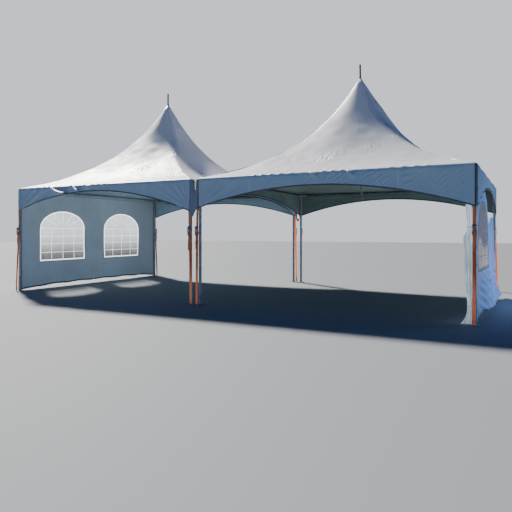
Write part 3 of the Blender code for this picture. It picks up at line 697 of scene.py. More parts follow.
FINISHES = {
    # The canopy's blue-grey valance tone is painted shade from the blue sky; the cloth is white all over
    "canopy": canopy_material(
        "canopy_cloth", roof=(0.84, 0.85, 0.87), valance=(0.34, 0.50, 0.68), stain=(0.55, 0.56, 0.56),
        amount=0.16,
    ),
    # The underside's dark grey-green is painted shade under the white cloth; the sunlit copy for the left bay
    # is lighter, painted light that comes through the roof
    "shaded_lining": canopy_material(
        "canopy_underside_shaded", roof=(0.20, 0.29, 0.27), valance=(0.19, 0.29, 0.35), stain=(0.13, 0.17, 0.12),
        amount=0.5, glow=0.02,
    ),
    "sunny_lining": canopy_material(
        "canopy_underside_sunlit", roof=(0.34, 0.50, 0.60), valance=(0.24, 0.36, 0.43),
        stain=(0.26, 0.36, 0.40), amount=0.4, glow=0.06,
    ),
    # The gutter's dark blue-grey hanging tone is painted shade, like the valance's
    "gutter": canopy_material(
        "gutter_cloth", roof=(0.70, 0.72, 0.74), valance=(0.19, 0.26, 0.37), stain=(0.22, 0.27, 0.32),
        amount=0.3,
    ),
    # The inside wall cloth's blue tint and its deeper tone toward its back are painted shade
    "wall_inside": wall_material(
        "wall_cloth_inside", (0.57, 0.72, 0.84), stain=(0.38, 0.47, 0.50), amount=0.30, glow=0.09, back=0.55
    ),
    "wall_outside": wall_material(
        "wall_cloth_outside", (0.72, 0.76, 0.82), stain=(0.45, 0.48, 0.48), amount=0.25
    ),
    # The slack wall's outer cloth is painted blue, the shade of blue sky on white cloth
    "slack": wall_material("slack_wall_cloth", (0.42, 0.57, 0.92), stain=(0.30, 0.38, 0.52), amount=0.25),
    "bunch": wall_material(
        "bunched_cloth", (0.74, 0.82, 0.88), stain=(0.34, 0.42, 0.46), amount=0.5, glow=0.32,
        crease=(8.0, 1.0),
    ),
    # Dark tape: the crown sleeve's own colour, and painted shade in the valance's corner folds and as the
    # shadow line round the windows' borders
    "dark_tape_and_shade": tape_material("dark_tape_and_painted_shade", (0.045, 0.062, 0.095)),
    "hem_tape": tape_material("hem_tape", (0.085, 0.11, 0.14)),
    "white_tape": tape_material("window_border", (0.92, 0.93, 0.93), roughness=0.4, glow=2.2),
    "bar_tape": tape_material("window_bars", (0.92, 0.93, 0.92), roughness=0.4, glow=2.0),
    # The slack window's border and bars are the white tape darkened to grey, painted shade
    "shaded_white_tape": tape_material("slack_border", (0.36, 0.38, 0.42), roughness=0.5),
    # A pale strip whose glow paints the sunlight seen through the gap behind the back tongue
    "seam_and_gap_light": tape_material("sunlit_seam", (0.92, 0.93, 0.88), roughness=0.5, glow=1.3),
    # The cream ties' pale tone and glow also paint the bright slit of light on the tongues
    "tie_and_slit_light": tape_material("cream_tie_and_slit_light", (0.85, 0.76, 0.50), roughness=0.5, glow=0.35),
    "pane": pane_material(
        "clear_vinyl", (0.84, 0.88, 0.89), haze=0.16, glow=1.4, dust=(0.38, 0.38, 0.36), dusty=0.38,
        heights=(0.7, 1.6),
    ),
    "brown_pane": pane_material(
        "clear_vinyl_slack", (0.66, 0.42, 0.34), haze=0.80, glow=0.0, dust=(0.72, 0.50, 0.40), dusty=0.1,
        heights=(0.9, 1.9),
    ),
    "tube": metal_material("mill_aluminium", (0.42, 0.50, 0.55), (0.20, 0.27, 0.31), 0.85, 0.36),
    "beam": metal_material("shaded_aluminium", (0.17, 0.21, 0.23), (0.09, 0.12, 0.13), 0.5, 0.5),
    "casting": metal_material(
        "cast_aluminium", (0.58, 0.60, 0.62), (0.35, 0.37, 0.40), 0.8, 0.45, clouds=30.0, scratches=40.0
    ),
    "zinc": metal_material(
        "zinc_plate", (0.40, 0.42, 0.44), (0.16, 0.17, 0.18), 0.75, 0.45,
        clouds=40.0, scratches=60.0, depth=0.0006,
    ),
    "rope": metal_material(
        "wire_rope", (0.42, 0.43, 0.45), (0.15, 0.15, 0.16), 0.85, 0.4, clouds=60.0, scratches=200.0
    ),
    "pole": metal_material(
        "painted_pole", (0.018, 0.026, 0.045), (0.010, 0.014, 0.022), 0.0, 0.6, clouds=20.0, scratches=80.0
    ),
    "pole_foot": metal_material(
        "pole_tube", (0.36, 0.43, 0.43), (0.24, 0.30, 0.30), 0.15, 0.55, clouds=20.0, scratches=80.0
    ),
    "webbing": webbing_material(
        "orange_webbing", (0.60, 0.14, 0.055), (0.68, 0.27, 0.15), glow=0.38, upper=0.2
    ),
    "shaded_webbing": webbing_material("orange_webbing_shaded", (0.60, 0.14, 0.055), (0.68, 0.27, 0.15)),
    "lit_webbing": webbing_material(
        "orange_webbing_sunlit", (0.88, 0.13, 0.03), (0.94, 0.25, 0.08), glow=0.9
    ),
    "cord": webbing_material("white_cord", (0.78, 0.80, 0.80), (0.62, 0.66, 0.68)),
    "grip": moulded_material("black_grip", (0.025, 0.026, 0.03)),
    "handle": moulded_material("ratchet_pad", (0.20, 0.19, 0.20)),
}


def roof_height(level, sweep=PROFILE_SWEEP):
    """Height of the roof at a level, 0 on the pole's axis and 1 at the eave.

    A level's section is a circle blended into a square by s = 1 - (1 - level)^2, its hip lies at
    level ((1 - s) / sqrt 2 + s), and the height falls as e^(-sweep hip).
    """
    square = 1 - (1 - level) ** 2
    hip = level * ((1 - square) / math.sqrt(2) + square)
    fall = (np.exp(-sweep * hip) - np.exp(-sweep)) / (1 - np.exp(-sweep))
    return EAVE_HEIGHT + PEAK_RISE * fall


def canopy_columns(counts):
    """Each column's quarter of the bay and its place across it, from -1 at one hip to 1."""
    start = 1 - CORNER_ROUND / HALF
    quarters = []
    places = []
    for quarter, count in enumerate(counts):
        rounded = np.array([start + (1 - start) * 0.65, start + (1 - start) * 0.3])
        even = np.linspace(-start, start, count - 5)
        places.append(np.concatenate([[-1.0], -rounded, even, rounded[::-1]]))
        quarters.append(np.full(count, quarter))
    return np.concatenate(quarters), np.concatenate(places)


def turn_quarters(across, out, height, quarter):
    """Points of a side that faces -Y, (across, -out, height), turned by quarters of a turn."""
    x = np.choose(quarter, [across, out, -across, -out])
    y = np.choose(quarter, [-out, across, out, -across])
    return np.stack([x, y, height], axis=2)


def round_corner(across, out, corner, radius):
    """A square section's corner drawn in to a radius: the distance d from the corner circle's
    middle becomes d (1 - w) + radius w, where w = sin(2 angle)."""
    beyond_x = np.maximum(np.abs(across) - (corner - radius), 0)
    beyond_y = np.maximum(out - (corner - radius), 0)
    far = np.maximum(np.hypot(beyond_x, beyond_y), 1e-9)
    pull = 2 * beyond_x * beyond_y / far**2
    share = (far * (1 - pull) + radius * pull) / far
    x = np.where(beyond_x > 0, np.sign(across) * (corner - radius + beyond_x * share), across)
    y = np.where(beyond_x > 0, corner - radius + beyond_y * share, out)
    return x, y


# How far each lower corner of a valance hangs above its place, around from the front left one,
# and how much higher the front arch's middle is
HEM_SHIFTS = {"left": (0.050, -0.045, 0.0, 0.0), "right": (0.016, -0.060, -0.015, 0.0)}
HEM_MIDDLES = {"left": 0.036, "right": -0.024}


def valance_hem(bay, quarter, place):
    """Height of a valance's hem at a place across its side, from -1 at one hip to 1 at the next: its
    arch corner + rise (1 - t^2), tilted between the heights that its corners hang at."""
    shifts = np.array(HEM_SHIFTS[bay])
    arch = VALANCE_CORNER + (ARCH_RISE + HEM_MIDDLES[bay] * (quarter == 0)) * (1 - place**2)
    return arch + (shifts[quarter] * (1 - place) + shifts[(quarter + 1) % 4] * (1 + place)) / 2


def canopy_rest(bay):
    """A bay's canopy before its folds, as a grid closed around the bay.

    Down the roof a level's section is x = half level ((1 - s) sin a + s tan a), out = half level
    ((1 - s) cos a + s), and the roof falls faster toward its back right hip, by a squared cosine.
    A quadratic curve turns it over the eave tube, and the valance hangs from
    there to its arch z = corner + rise (1 - t^2), where t is the place across the side, tilted
    between the heights that its corners hang at.
    """
    quarter, place = canopy_columns(CANOPY_COLUMNS[bay])
    angle = np.arctan(place)
    level = CROWN_LEVEL + (EDGE_LEVEL - CROWN_LEVEL) * np.linspace(0, 1, ROOF_ROWS)[:, None] ** 0.9
    square = 1 - (1 - level) ** 2
    across = HALF * level * ((1 - square) * np.sin(angle) + square * place)
    out = HALF * level * ((1 - square) * np.cos(angle) + square)
    corner = HALF * level * ((1 - square) / math.sqrt(2) + square)
    right = (quarter == 1) | ((quarter == 0) & (place > 0)) | ((quarter == 2) & (place < 0))
    softened = np.where(right, HIP_ROUND, 0.4 * HIP_ROUND) * ease(level / 0.3) * ease((1 - level) / 0.8)
    across, out = round_corner(across, out, corner, CORNER_ROUND * level**12 + softened)
    toward = np.cos(angle + (quarter - 1.5) * np.pi / 2).clip(0) ** 2 * ease(level / 0.12)
    height = roof_height(level, PROFILE_SWEEP + BACK_SWEEP * toward)

    turn = np.linspace(0, 1, EDGE_ROWS + 1)[1:, None]
    edge_out = (1 - turn) ** 2 * HALF * EDGE_LEVEL + (2 * (1 - turn) * turn + turn**2) * HALF
    edge_height = (
        (1 - turn) ** 2 * roof_height(EDGE_LEVEL)
        + 2 * (1 - turn) * turn * EAVE_HEIGHT
        + turn**2 * (EAVE_HEIGHT - EDGE_DROP)
    )
    edge_x, edge_y = round_corner(edge_out * place, edge_out + 0 * place, edge_out, CORNER_ROUND)

    drop = np.linspace(0, 1, VALANCE_ROWS + 1)[1:, None] ** VALANCE_CLOSENESS
    top = EAVE_HEIGHT - EDGE_DROP
    hem = valance_hem(bay, quarter, place)
    hang_x, hang_y = round_corner(HALF * place, HALF + 0 * place, HALF, CORNER_ROUND)
    rows = (VALANCE_ROWS, len(place))
    across = np.concatenate([across, edge_x, np.broadcast_to(hang_x, rows)])
    out = np.concatenate([out, edge_y, np.broadcast_to(hang_y, rows)])
    height = np.concatenate([height, edge_height + 0 * place, top + drop * (hem - top)])
    return quarter, place, across, out, height


# Where the roof puckers, as (across from the bay's middle, out from it, how much), and its reach
PUCKERS = {
    "left": ((0.57, 1.50, 1.0), (1.78, 1.95, 1.0), (1.00, 1.02, 0.8), (0.35, 1.62, 0.7)),
    "right": (
        (-0.02, 1.64, 0.9), (0.62, 1.45, 0.4), (-0.85, 1.62, 0.5), (0.98, 1.07, 0.5), (-0.30, 1.70, 0.8)
    ),
}
PUCKER_REACH = 0.17

# Loose cloth that hangs over the eave in crescents: start and end across, drop, and how curved
CRESCENTS = {
    "left": ((-1.40, -0.82, 0.150, 2.0), (-0.70, -0.43, 0.118, 1.5), (-0.30, -0.14, 0.038, 1.5)),
    "right": ((-0.16, 0.00, 0.060, 1.6), (0.50, 0.66, 0.080, 1.6)),
}
CRESCENT_WIDTH = 0.030

# How far cloth must stand out, for each metre below the eave, to be in the sun
SUN_GRAZE = 0.60
# Share of the valance's painted blue-grey shade that the sunlit back and left valances take
SUNLIT_VALANCE_SHADE = 0.25

SEAM_PLACE = 1.34
SEAM_WIDTH = 0.022

# Dark tape down each hip's corner, which also paints the shade of the fold at the valance's corner: its
# widths before and after it, around from the front left hip
CORNER_SHADE_TAPES = {
    "left": {1: (0.040, 0.040), 2: (0.040, 0.040)},
    "right": {0: (0.040, 0.040), 1: (0.034, 0.075), 2: (0.040, 0.040), 3: (0.040, 0.040)},
}


def puckered(bay, across, out):
    """How much the roof puckers: the sum of its puckers' bell curves."""
    total = np.zeros(across.shape)
    for middle_across, middle_out, share in PUCKERS[bay]:
        total += share * bell(across, middle_across, PUCKER_REACH) * bell(out, middle_out, PUCKER_REACH)
    return total


def eave_ripples(bay, front, across, run, hang, slope):
    """Ripples over the eave tube, (0.5 + 0.5 sin)^1.5, in patches along the eave."""
    patch = ease(0.5 + 0.9 * rolling(run, 0, 1.5, 21 if bay == "left" else 22))
    if bay == "left":
        patch = np.where(front, np.maximum(patch, bell(across, -1.05, 0.95)), patch)
    ripple = (0.5 + 0.5 * np.sin(2 * np.pi * run / 0.19 + 1.6 * rolling(run, 0, 0.8, 23))) ** 1.5
    return 0.011 * patch * ripple * bell(hang, 0, 0.055) * np.exp(-slope / 0.20)


def valance_folds(bay, quarter, across, run, hang, below):
    """Folds of the valance: a fan from each lower corner as sin(27 angle), slanting drag folds, slow
    spread, and on the right end deep standing folds."""
    front = quarter == 0
    end_side = (quarter == 1) & (bay == "right")
    aside = HALF - np.abs(across)
    above = VALANCE_DROP - hang
    far = np.hypot(aside, above)
    angle = np.arctan2(above, aside)
    fan = (0.5 + 0.5 * np.sin(27 * angle + np.sign(across) * 1.1 + quarter)) ** 2
    strength = np.where(front & (across < 0) & (bay == "left"), 0.046, 0.0075)
    strength = np.where(front & (across > 0) & (bay == "right"), 0.002, strength)
    relief = strength * fan * below * far / 0.33 * np.exp(1 - far / 0.33) * ease(aside / 0.09)

    wander = 2.6 * rolling(run, hang, 0.42, 31)
    slant = 0.5 + 0.5 * np.sin(2 * np.pi * (across + 1.25 * hang) / 0.120 + wander)
    finer = 0.5 + 0.5 * np.sin(2 * np.pi * (across + 0.95 * hang) / 0.078 - 1.4 * wander)
    patches = ease(0.35 + 0.8 * rolling(run, hang, 0.9, 32))
    dragged = np.where(front & (bay == "right"), 0.12 + bell(across, 0.62, 0.85), 0.22)
    creased = 0.013 * slant**2 * (0.6 + 0.5 * rolling(run, hang, 0.35, 34)).clip(0)
    creased += 0.006 * finer * patches
    relief += creased * np.maximum(patches * 0.4, dragged) * below * ease(aside / 0.25)
    spread = np.where(end_side, 0.003, 0.009)
    relief += spread * (0.7 + rolling(run, hang, 0.6, 33)).clip(0) * below * ease(aside / 0.3)

    swing = 2 * np.pi * across / 0.46 + 0.8 * np.sin(2.6 * across) + 2.4 * hang
    fading = ease(hang / 0.2) * ease(aside / 0.2) * ease((1.9 - across) / 1.6)
    return relief + np.where(end_side, 0.018 * (0.5 + 0.5 * np.sin(swing)) ** 1.3 * fading, 0)


def add_crescents(relief, bay, front, across, down):
    """A relief with crescents of loose cloth over the front eave. A crescent's line drops as
    1 - (1 - share)^power, the cloth climbs out to it and falls back below it as a bell curve, and
    the folds there are calmed."""
    for start, end, drop, power in CRESCENTS[bay]:
        share = np.clip((across - start) / (end - start), 0, 1)
        line = 0.010 + drop * (1 - (1 - share) ** power)
        ends = np.where(front, ease((across - start + 0.03) / 0.06) * ease((end - across) / 0.08), 0)
        slope = (0.42 * down).clip(0)
        peak = SUN_GRAZE * line + 0.016
        climb = ease((down - line + CRESCENT_WIDTH) / CRESCENT_WIDTH)
        swell = np.where(down < line, slope + (peak - slope) * climb, peak * bell(down, line, 0.050))
        calm = ends * ease((down + 0.04) / 0.03) * ease((line + 0.10 - down) / 0.06)
        relief = relief * (1 - 0.9 * calm) + ends * swell
    return relief


def canopy_relief(bay, quarter, across, out, height):
    """How far the cloth stands out of its rest shape: slow unevenness on the roof, ripples at the
    eave, folds below it, crescents over the front eave, and folds in the puckered places."""
    down = EAVE_HEIGHT - height
    hang = np.clip(down, 0, None)
    slope = np.hypot(out - HALF, np.clip(-down, 0, None))
    run = across + 2 * HALF * quarter
    front = quarter == 0
    relief = 0.007 * rolling(run, slope, 0.95, 11) * ease((slope - 0.10) / 0.5) * ease(out / 0.5)
    relief += 0.0025 * rolling(run, slope, 0.30, 12) * ease((slope - 0.05) / 0.3) * ease(out / 0.6)
    relief += eave_ripples(bay, front, across, run, hang, slope)
    below = ease((hang - 0.015) / 0.05) * (out > HALF - CORNER_ROUND - 0.001)
    relief += valance_folds(bay, quarter, across, run, hang, below)
    relief = add_crescents(relief, bay, front, across, down)
    folds = np.sin(2 * np.pi * (across + 0.30 * out) / 0.10 + 2.5 * rolling(across, out, 0.16, 41))
    depth = 0.0060 * puckered(bay, across, out) * (0.6 + 0.5 * rolling(across, out, 0.2, 42))
    return relief + np.where(front, depth * folds, 0)


def canopy_marks(bay, quarter, across, out, height):
    """Where the canopy is valance, puckered or seamed, as numbers that its mesh carries. The valance mark
    paints shade: the front and right valances, which stand in the shade, take all of the blue-grey valance
    tone, and its back and left valance, which stand in the sun, only a little of it."""
    valance = ease((EAVE_HEIGHT + 0.004 - height) / 0.02) * np.where(quarter < 2, 1.0, SUNLIT_VALANCE_SHADE)
    pucker = (puckered(bay, across, out) * np.where(quarter == 0, 1.0, 0.25)).clip(0, 1)
    straight = bell(np.abs(across), SEAM_PLACE, SEAM_WIDTH)
    hips = bell(out - np.abs(across), 0, 2 * SEAM_WIDTH) * (height > EAVE_HEIGHT)
    return {"valance": valance, "pucker": pucker, "seam": np.maximum(straight, hips)}


def outward(grid):
    """Normals of a grid closed around its columns, rows x columns."""
    around = np.roll(grid, -1, axis=1) - np.roll(grid, 1, axis=1)
    return unit(np.cross(np.gradient(grid, axis=0), around))


def canopy_grid(bay):
    """A bay's canopy with its folds, in place, and the numbers that its mesh carries."""
    quarter, _, across, out, height = canopy_rest(bay)
    rest = turn_quarters(across, out, height, quarter)
    relief = canopy_relief(bay, quarter, across, out, height)
    grid = rest + outward(rest) * relief[..., None]
    grid[..., 0] += bay_middle(bay) + ROOF_LEAN[bay] * ((height - EAVE_HEIGHT) / PEAK_RISE).clip(0)
    return grid, canopy_marks(bay, quarter, across, out, height)


def hem_binding(grid):
    """The tape folded over the valance's hem: a U-shaped profile carried around the hem, as
    hem + rise (up the cloth) + lift (along its normal)."""
    up = unit(grid[-3] - grid[-1])
    normal = outward(grid)[-1]
    profile = (
        (0.024, 0.0012), (0.012, 0.0016), (0.000, 0.0014), (-0.002, -0.0015),
        (0.000, -0.0044), (0.012, -0.0046), (0.024, -0.0042),
    )
    rows = [grid[-1] + rise * up + lift * normal for rise, lift in profile]
    return surface(np.stack(rows), around=True)


def corner_strip(grid, quarter, place, hip, widths):
    """The dark tape down one corner of the valance, which also paints the shade of the fold there: the
    canopy's own grid within the tape's widths of the corner, before and after it, lifted off it."""
    normal = outward(grid)
    rows = slice(ROOF_ROWS + 1, None)
    nearer = np.where((quarter == hip) & (place < 0), HALF * (1 + place), np.inf)
    earlier = np.where((quarter == (hip - 1) % 4) & (place > 0), HALF * (1 - place), np.inf)
    columns = np.concatenate([np.flatnonzero(earlier < widths[0]), np.flatnonzero(nearer < widths[1])])
    return surface((grid + 0.0016 * normal)[rows][:, columns])


def make_canopy(bay):
    """A bay's canopy with its hem tape and its dark corner tapes, which also paint the shade in the valance's
    corner folds.
    """
    grid, marks = canopy_grid(bay)
    quarter, place = canopy_columns(CANOPY_COLUMNS[bay])
    finishes = ["canopy", "sunny_lining" if bay == "left" else "shaded_lining"]
    panels = [f"roof_panel_{bay}_{side}" for side in SIDES]
    canopy = cloth(
        f"canopy_{bay}", [surface(grid, around=True)], finishes, "roof_vinyl", CANOPY_SHEET, *panels,
        other_side=1, marks=marks,
    )
    binding = cloth(f"hem_tape_{bay}", [hem_binding(grid)], ["hem_tape"], "roof_vinyl", 0.0008, offset=1.0)
    strips = [corner_strip(grid, quarter, place, hip, widths) for hip, widths in CORNER_SHADE_TAPES[bay].items()]
    tapes = cloth(f"corner_shade_tapes_{bay}", strips, ["dark_tape_and_shade"], "roof_vinyl", 0.001, offset=1.0)


def make_crown(bay):
    """The sleeve and clamp where the canopy's tip closes on the king pole's spike."""
    top = float(roof_height(CROWN_LEVEL))
    radius = SPIKE_RADIUS
    middle = (bay_middle(bay) + ROOF_LEAN[bay], 0, top)
    sleeve = [
        (radius, -0.004), (radius + 0.006, -0.016), (radius + 0.0045, 0.0), (radius + 0.003, 0.030),
        (radius + 0.0022, 0.052), (radius, 0.055), (radius, -0.004),
    ]
    clamp = [
        (radius + 0.002, 0.030), (radius + 0.0055, 0.031), (radius + 0.006, 0.038),
        (radius + 0.0055, 0.045), (radius + 0.002, 0.046), (radius + 0.002, 0.030),
    ]
    parts = [turned(sleeve, middle, sides=40), turned(clamp, middle, sides=40, slot=1)]
    screw = np.array(middle) + (0, -radius - 0.007, 0.038)
    parts.append(bar(screw, (0.012, 0, 0), 0.0035, slot=1))
    fitting(f"crown_sleeve_{bay}", parts, ["dark_tape_and_shade", "zinc"], "roof_vinyl")


def make_king_pole(bay):
    """The king pole: a turned tube with a foot ring, a shoulder and a spike with a rounded tip,
    which leans with its roof."""
    low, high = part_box(f"king_pole_{bay}")
    foot, tip = low.z, high.z
    radius, spike = POLE_RADIUS, SPIKE_RADIUS
    tube = [
        (0, foot), (radius - 0.004, foot), (radius - 0.001, foot + 0.002), (radius, foot + 0.006),
        (radius, POLE_SHOULDER - 0.006), (radius - 0.001, POLE_SHOULDER), (0, POLE_SHOULDER),
    ]
    top = [
        (0, POLE_SHOULDER - 0.01), (spike, POLE_SHOULDER - 0.01), (spike + 0.003, POLE_SHOULDER + 0.001),
        (spike + 0.001, POLE_SHOULDER + 0.022), (spike, POLE_SHOULDER + 0.026), (spike, tip - 0.010),
        (spike - 0.002, tip - 0.004), (spike - 0.007, tip - 0.001), (0, tip),
    ]
    middle = (bay_middle(bay), 0, 0)
    collar = radius + 0.004
    rings = [(radius, 0.0), (collar, 0.002), (collar, 0.014), (radius, 0.016), (radius, 0.0)]
    parts = [turned(tube, middle, sides=48, slot=1), turned(top, middle, sides=48)]
    for height in (foot + 0.030, foot + 0.075, POLE_SHOULDER - 0.06):
        parts.append(turned(rings, (middle[0], 0, height), sides=48, slot=1))
    leaning = EAVE_HEIGHT + PEAK_RISE - foot
    for part in parts:
        part["points"][:, 0] += ROOF_LEAN[bay] * (part["points"][:, 2] - foot) / leaning
    fitting(f"mast_{bay}", parts, ["pole", "pole_foot"], "king_pole", f"king_pole_{bay}")


def make_cables(bay):
    """Crossed wire ropes: a six-lobed profile that turns once in a lay along each straight run,
    with an eye and a turnbuckle at the corner and the cup under the king pole in the middle."""
    low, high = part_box(f"cross_cables_{bay}")
    middle = np.array([bay_middle(bay), 0.0, 0.0])
    cup_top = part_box(f"king_pole_{bay}")[0].z - CLEAR
    cup_height = 0.050
    radius = 0.045
    cup = [
        (0, -cup_height), (radius - 0.010, -cup_height), (radius - 0.002, -cup_height + 0.006),
        (radius, -cup_height + 0.014), (radius, -0.003), (radius - 0.002, 0), (0, 0),
    ]
    parts = [turned(cup, middle + (0, 0, cup_top), sides=40, slot=1)]
    hub = middle + (0, 0, cup_top - cup_height / 2)
    reach = np.array([(high.x - low.x) / 2, (high.y - low.y) / 2])
    lay = 0.075
    rope = round_profile(0.0042, 18, 6, 0.14)
    turnbuckle = ((0.255, 0.200, 0.0065), (0.205, 0.060, 0.0095), (0.070, 0.020, 0.0048))
    for across, along in DIAGONALS:
        end = middle + (across * reach[0], along * reach[1], high.z - 0.006)
        run = unit(end - hub)
        length = float(np.linalg.norm(end - hub))
        distance = np.linspace(radius - 0.004, length - 0.235, 200)
        path = hub + distance[:, None] * run
        parts.append(swept(path, rope, (0, 0, 1), twist=2 * np.pi * distance / lay))
        parts.append(rod(hub + (radius - 0.006) * run, hub + (radius + 0.045) * run, 0.0075, slot=1))
        for start, stop, size in turnbuckle:
            parts.append(rod(end - start * run, end - stop * run, size, slot=1))
        parts.append(ring(end - 0.014 * run, np.cross(run, (0, 0, 1)), 0.0105, 0.0035, slot=1))
    fitting(f"wire_ropes_{bay}", parts, ["rope", "zinc"], "steel_cable", f"cross_cables_{bay}")


def make_eave_tube(bay, side):
    """An eave tube with its end sleeves and the rivets through them."""
    node = f"eave_tube_{bay}_{side}"
    low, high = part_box(node)
    middle = (low + high) / 2
    lengthwise = 0 if high.x - low.x > high.y - low.y else 1
    start = np.array(middle)
    end = np.array(middle)
    start[lengthwise] = low[lengthwise]
    end[lengthwise] = high[lengthwise]
    run = unit(end - start)
    parts = [rod(start, end, TUBE_RADIUS - 0.0004, 40, 0.05)]
    for place, way in ((start, 1), (end, -1)):
        for far in (0.05, 0.12):
            below = place + way * far * run - (0, 0, TUBE_RADIUS)
            parts.append(rod(below - (0, 0, 0.002), below + (0, 0, 0.004), 0.006, 12, slot=1))
        parts.append(rod(place + way * 0.002 * run, place + way * 0.16 * run, TUBE_RADIUS + 0.0012, 40, 0.04))
    # The other eave tubes take a darker copy of the aluminium, painted shade under the canopy
    finish = "tube" if (bay, side) == ("left", "outer") else "beam"
    fitting(f"eave_pole_{bay}_{side}", parts, [finish, "zinc"], "frame_tube", node)


def make_leg(bay, end, side):
    """A leg: a drawn tube in a welded socket, pinned, on a square plate with bolts at its corners."""
    node = f"leg_{bay}_{end}_{side}"
    low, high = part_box(node)
    x, y, _ = middle_of(node)
    side_length = high.x - low.x
    plate = 0.008
    joint = 1.18
    tube = TUBE_RADIUS
    drawn = tube - 0.0008
    collar = tube + 0.0010
    socket = tube + 0.002
    profile = [
        (0, plate * 0.6), (socket + 0.005, plate * 0.6), (socket + 0.004, plate + 0.001),
        (socket, plate + 0.006), (socket, 0.054), (socket - 0.0015, 0.058), (tube, 0.060), (drawn, 0.062),
        (drawn, joint - 0.03), (collar, joint - 0.028), (collar, joint + 0.028), (drawn, joint + 0.03),
        (drawn, high.z - 0.002), (tube - 0.003, high.z), (0, high.z),
    ]
    parts = [turned(profile, (x, y, 0), sides=48)]
    outline = rounded_rectangle(side_length, side_length, 0.010, 5)
    parts.append(slab(outline, plate, (x, y, 0), bevel=0.0015, slot=1))
    corner = side_length / 2 - 0.020
    hexagon = round_profile(0.0085, 6)
    washer = [(0, 0), (0.0115, 0), (0.0115, 0.0022), (0, 0.0026)]
    for across, along in DIAGONALS:
        at = (x + across * corner, y + along * corner, plate - 0.001)
        parts.append(turned(washer, at, sides=20, slot=1))
        parts.append(slab(hexagon, 0.009, at, bevel=0.0012, slot=1))
    pin = np.array((x, y, 0.038))
    parts.append(rod(pin - (socket + 0.010, 0, 0), pin + (socket + 0.008, 0, 0), 0.004, slot=1))
    parts.append(ring(pin + (socket + 0.004, 0, 0.008), (1, 0, 0), 0.009, 0.0013, 20, 8, slot=1))
    for height in (joint - 0.018, joint + 0.018):
        parts.append(bar((x, y, height), np.array((0, tube + 0.0035, 0)), 0.0045, 12, slot=1))
    fitting(f"leg_post_{bay}_{end}_{side}", parts, ["tube", "zinc"], "frame_tube", node)


def make_fitting_trim(bay, end, side):
    """Bolts through a corner fitting's three arms, and its own node's finish."""
    node = f"corner_fitting_{bay}_{end}_{side}"
    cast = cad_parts[node]
    cast.data.materials.clear()
    cast.data.materials.append(FINISHES["casting"])
    leg = middle_of(f"leg_{bay}_{end}_{side}")
    knuckle = np.array([leg[0], leg[1], BEAM_HEIGHT])
    inward_x = 1 if leg[0] < bay_middle(bay) else -1
    inward_y = 1 if leg[1] < 0 else -1
    parts = []
    for arm in ((inward_x, 0, 0), (0, inward_y, 0), (0, 0, -1)):
        across = np.array((0, 0, 1.0)) if arm[2] == 0 else np.array((inward_x, 0, 0.0))
        for far in (0.075, 0.130):
            at = knuckle + far * np.array(arm)
            start = at - (TUBE_RADIUS + 0.0035) * across
            parts.append(rod(start, start + 0.006 * across, 0.0075, 6, slot=0))
    fitting(f"fitting_bolts_{bay}_{end}_{side}", parts, ["zinc"], "corner_casting")


# Straps: how far each stands beside its leg at its top and at its stake, and where its ratchet is
STRAP_SHIFTS = {
    "left_front_outer": (0.000, -0.015),
    "left_front_inner": (-0.010, 0.080),
    "right_front_inner": (-0.0102, -0.014),
    "right_front_outer": (0.008, 0.006),
    "left_back_outer": (0.000, 0.020),
    "left_back_inner": (0.0102, 0.045),
    "right_back_inner": (-0.0102, -0.040),
    "right_back_outer": (0.000, 0.050),
}
STRAP_LEAN = {"right_front_inner": -0.034, "left_back_inner": 0.022}
STRAP_CLOTH = {
    "left_back_inner": "lit_webbing", "right_back_inner": "lit_webbing", "right_back_outer": "lit_webbing",
    "left_back_outer": "shaded_webbing",
}
STRAP_WIDTH = 0.050
STRAP_THICKNESS = 0.0025
RATCHET_HEIGHT = 1.38
STAKE_HEIGHT = 0.105
STAKE_RADIUS = 0.012


def strap_route(leg, end, shifts, lean):
    """A strap's centreline: straight runs from the fitting down to the valance's lower corner and
    out to the stake, drawn smooth by a running mean. lean is how far it swings aside at the
    valance's corner."""
    held = LEG_OFFSET + TUBE_RADIUS + CLEAR + STRAP_THICKNESS / 2
    stake = abs(middle_of("stake_left_front_outer")[1])
    staked = stake + STAKE_RADIUS + CLEAR + STRAP_THICKNESS / 2
    heights = np.linspace(BEAM_HEIGHT - 0.055, 0.022, 240)
    stops = (0.0, 0.020, STAKE_HEIGHT, VALANCE_CORNER - 0.03, VALANCE_CORNER + 0.10, BEAM_HEIGHT)
    aside = (shifts[1], shifts[1], shifts[1], shifts[0] + lean, shifts[0], shifts[0])
    x = np.interp(heights, stops, leg[0] + np.array(aside))
    y = np.interp(heights, stops, (staked, staked, staked, held, held, held))
    kernel = np.ones(9) / 9
    x[4:-4] = np.convolve(x, kernel, "valid")
    y[4:-4] = np.convolve(y, kernel, "valid")
    return np.stack([x, end * y, heights], axis=1)


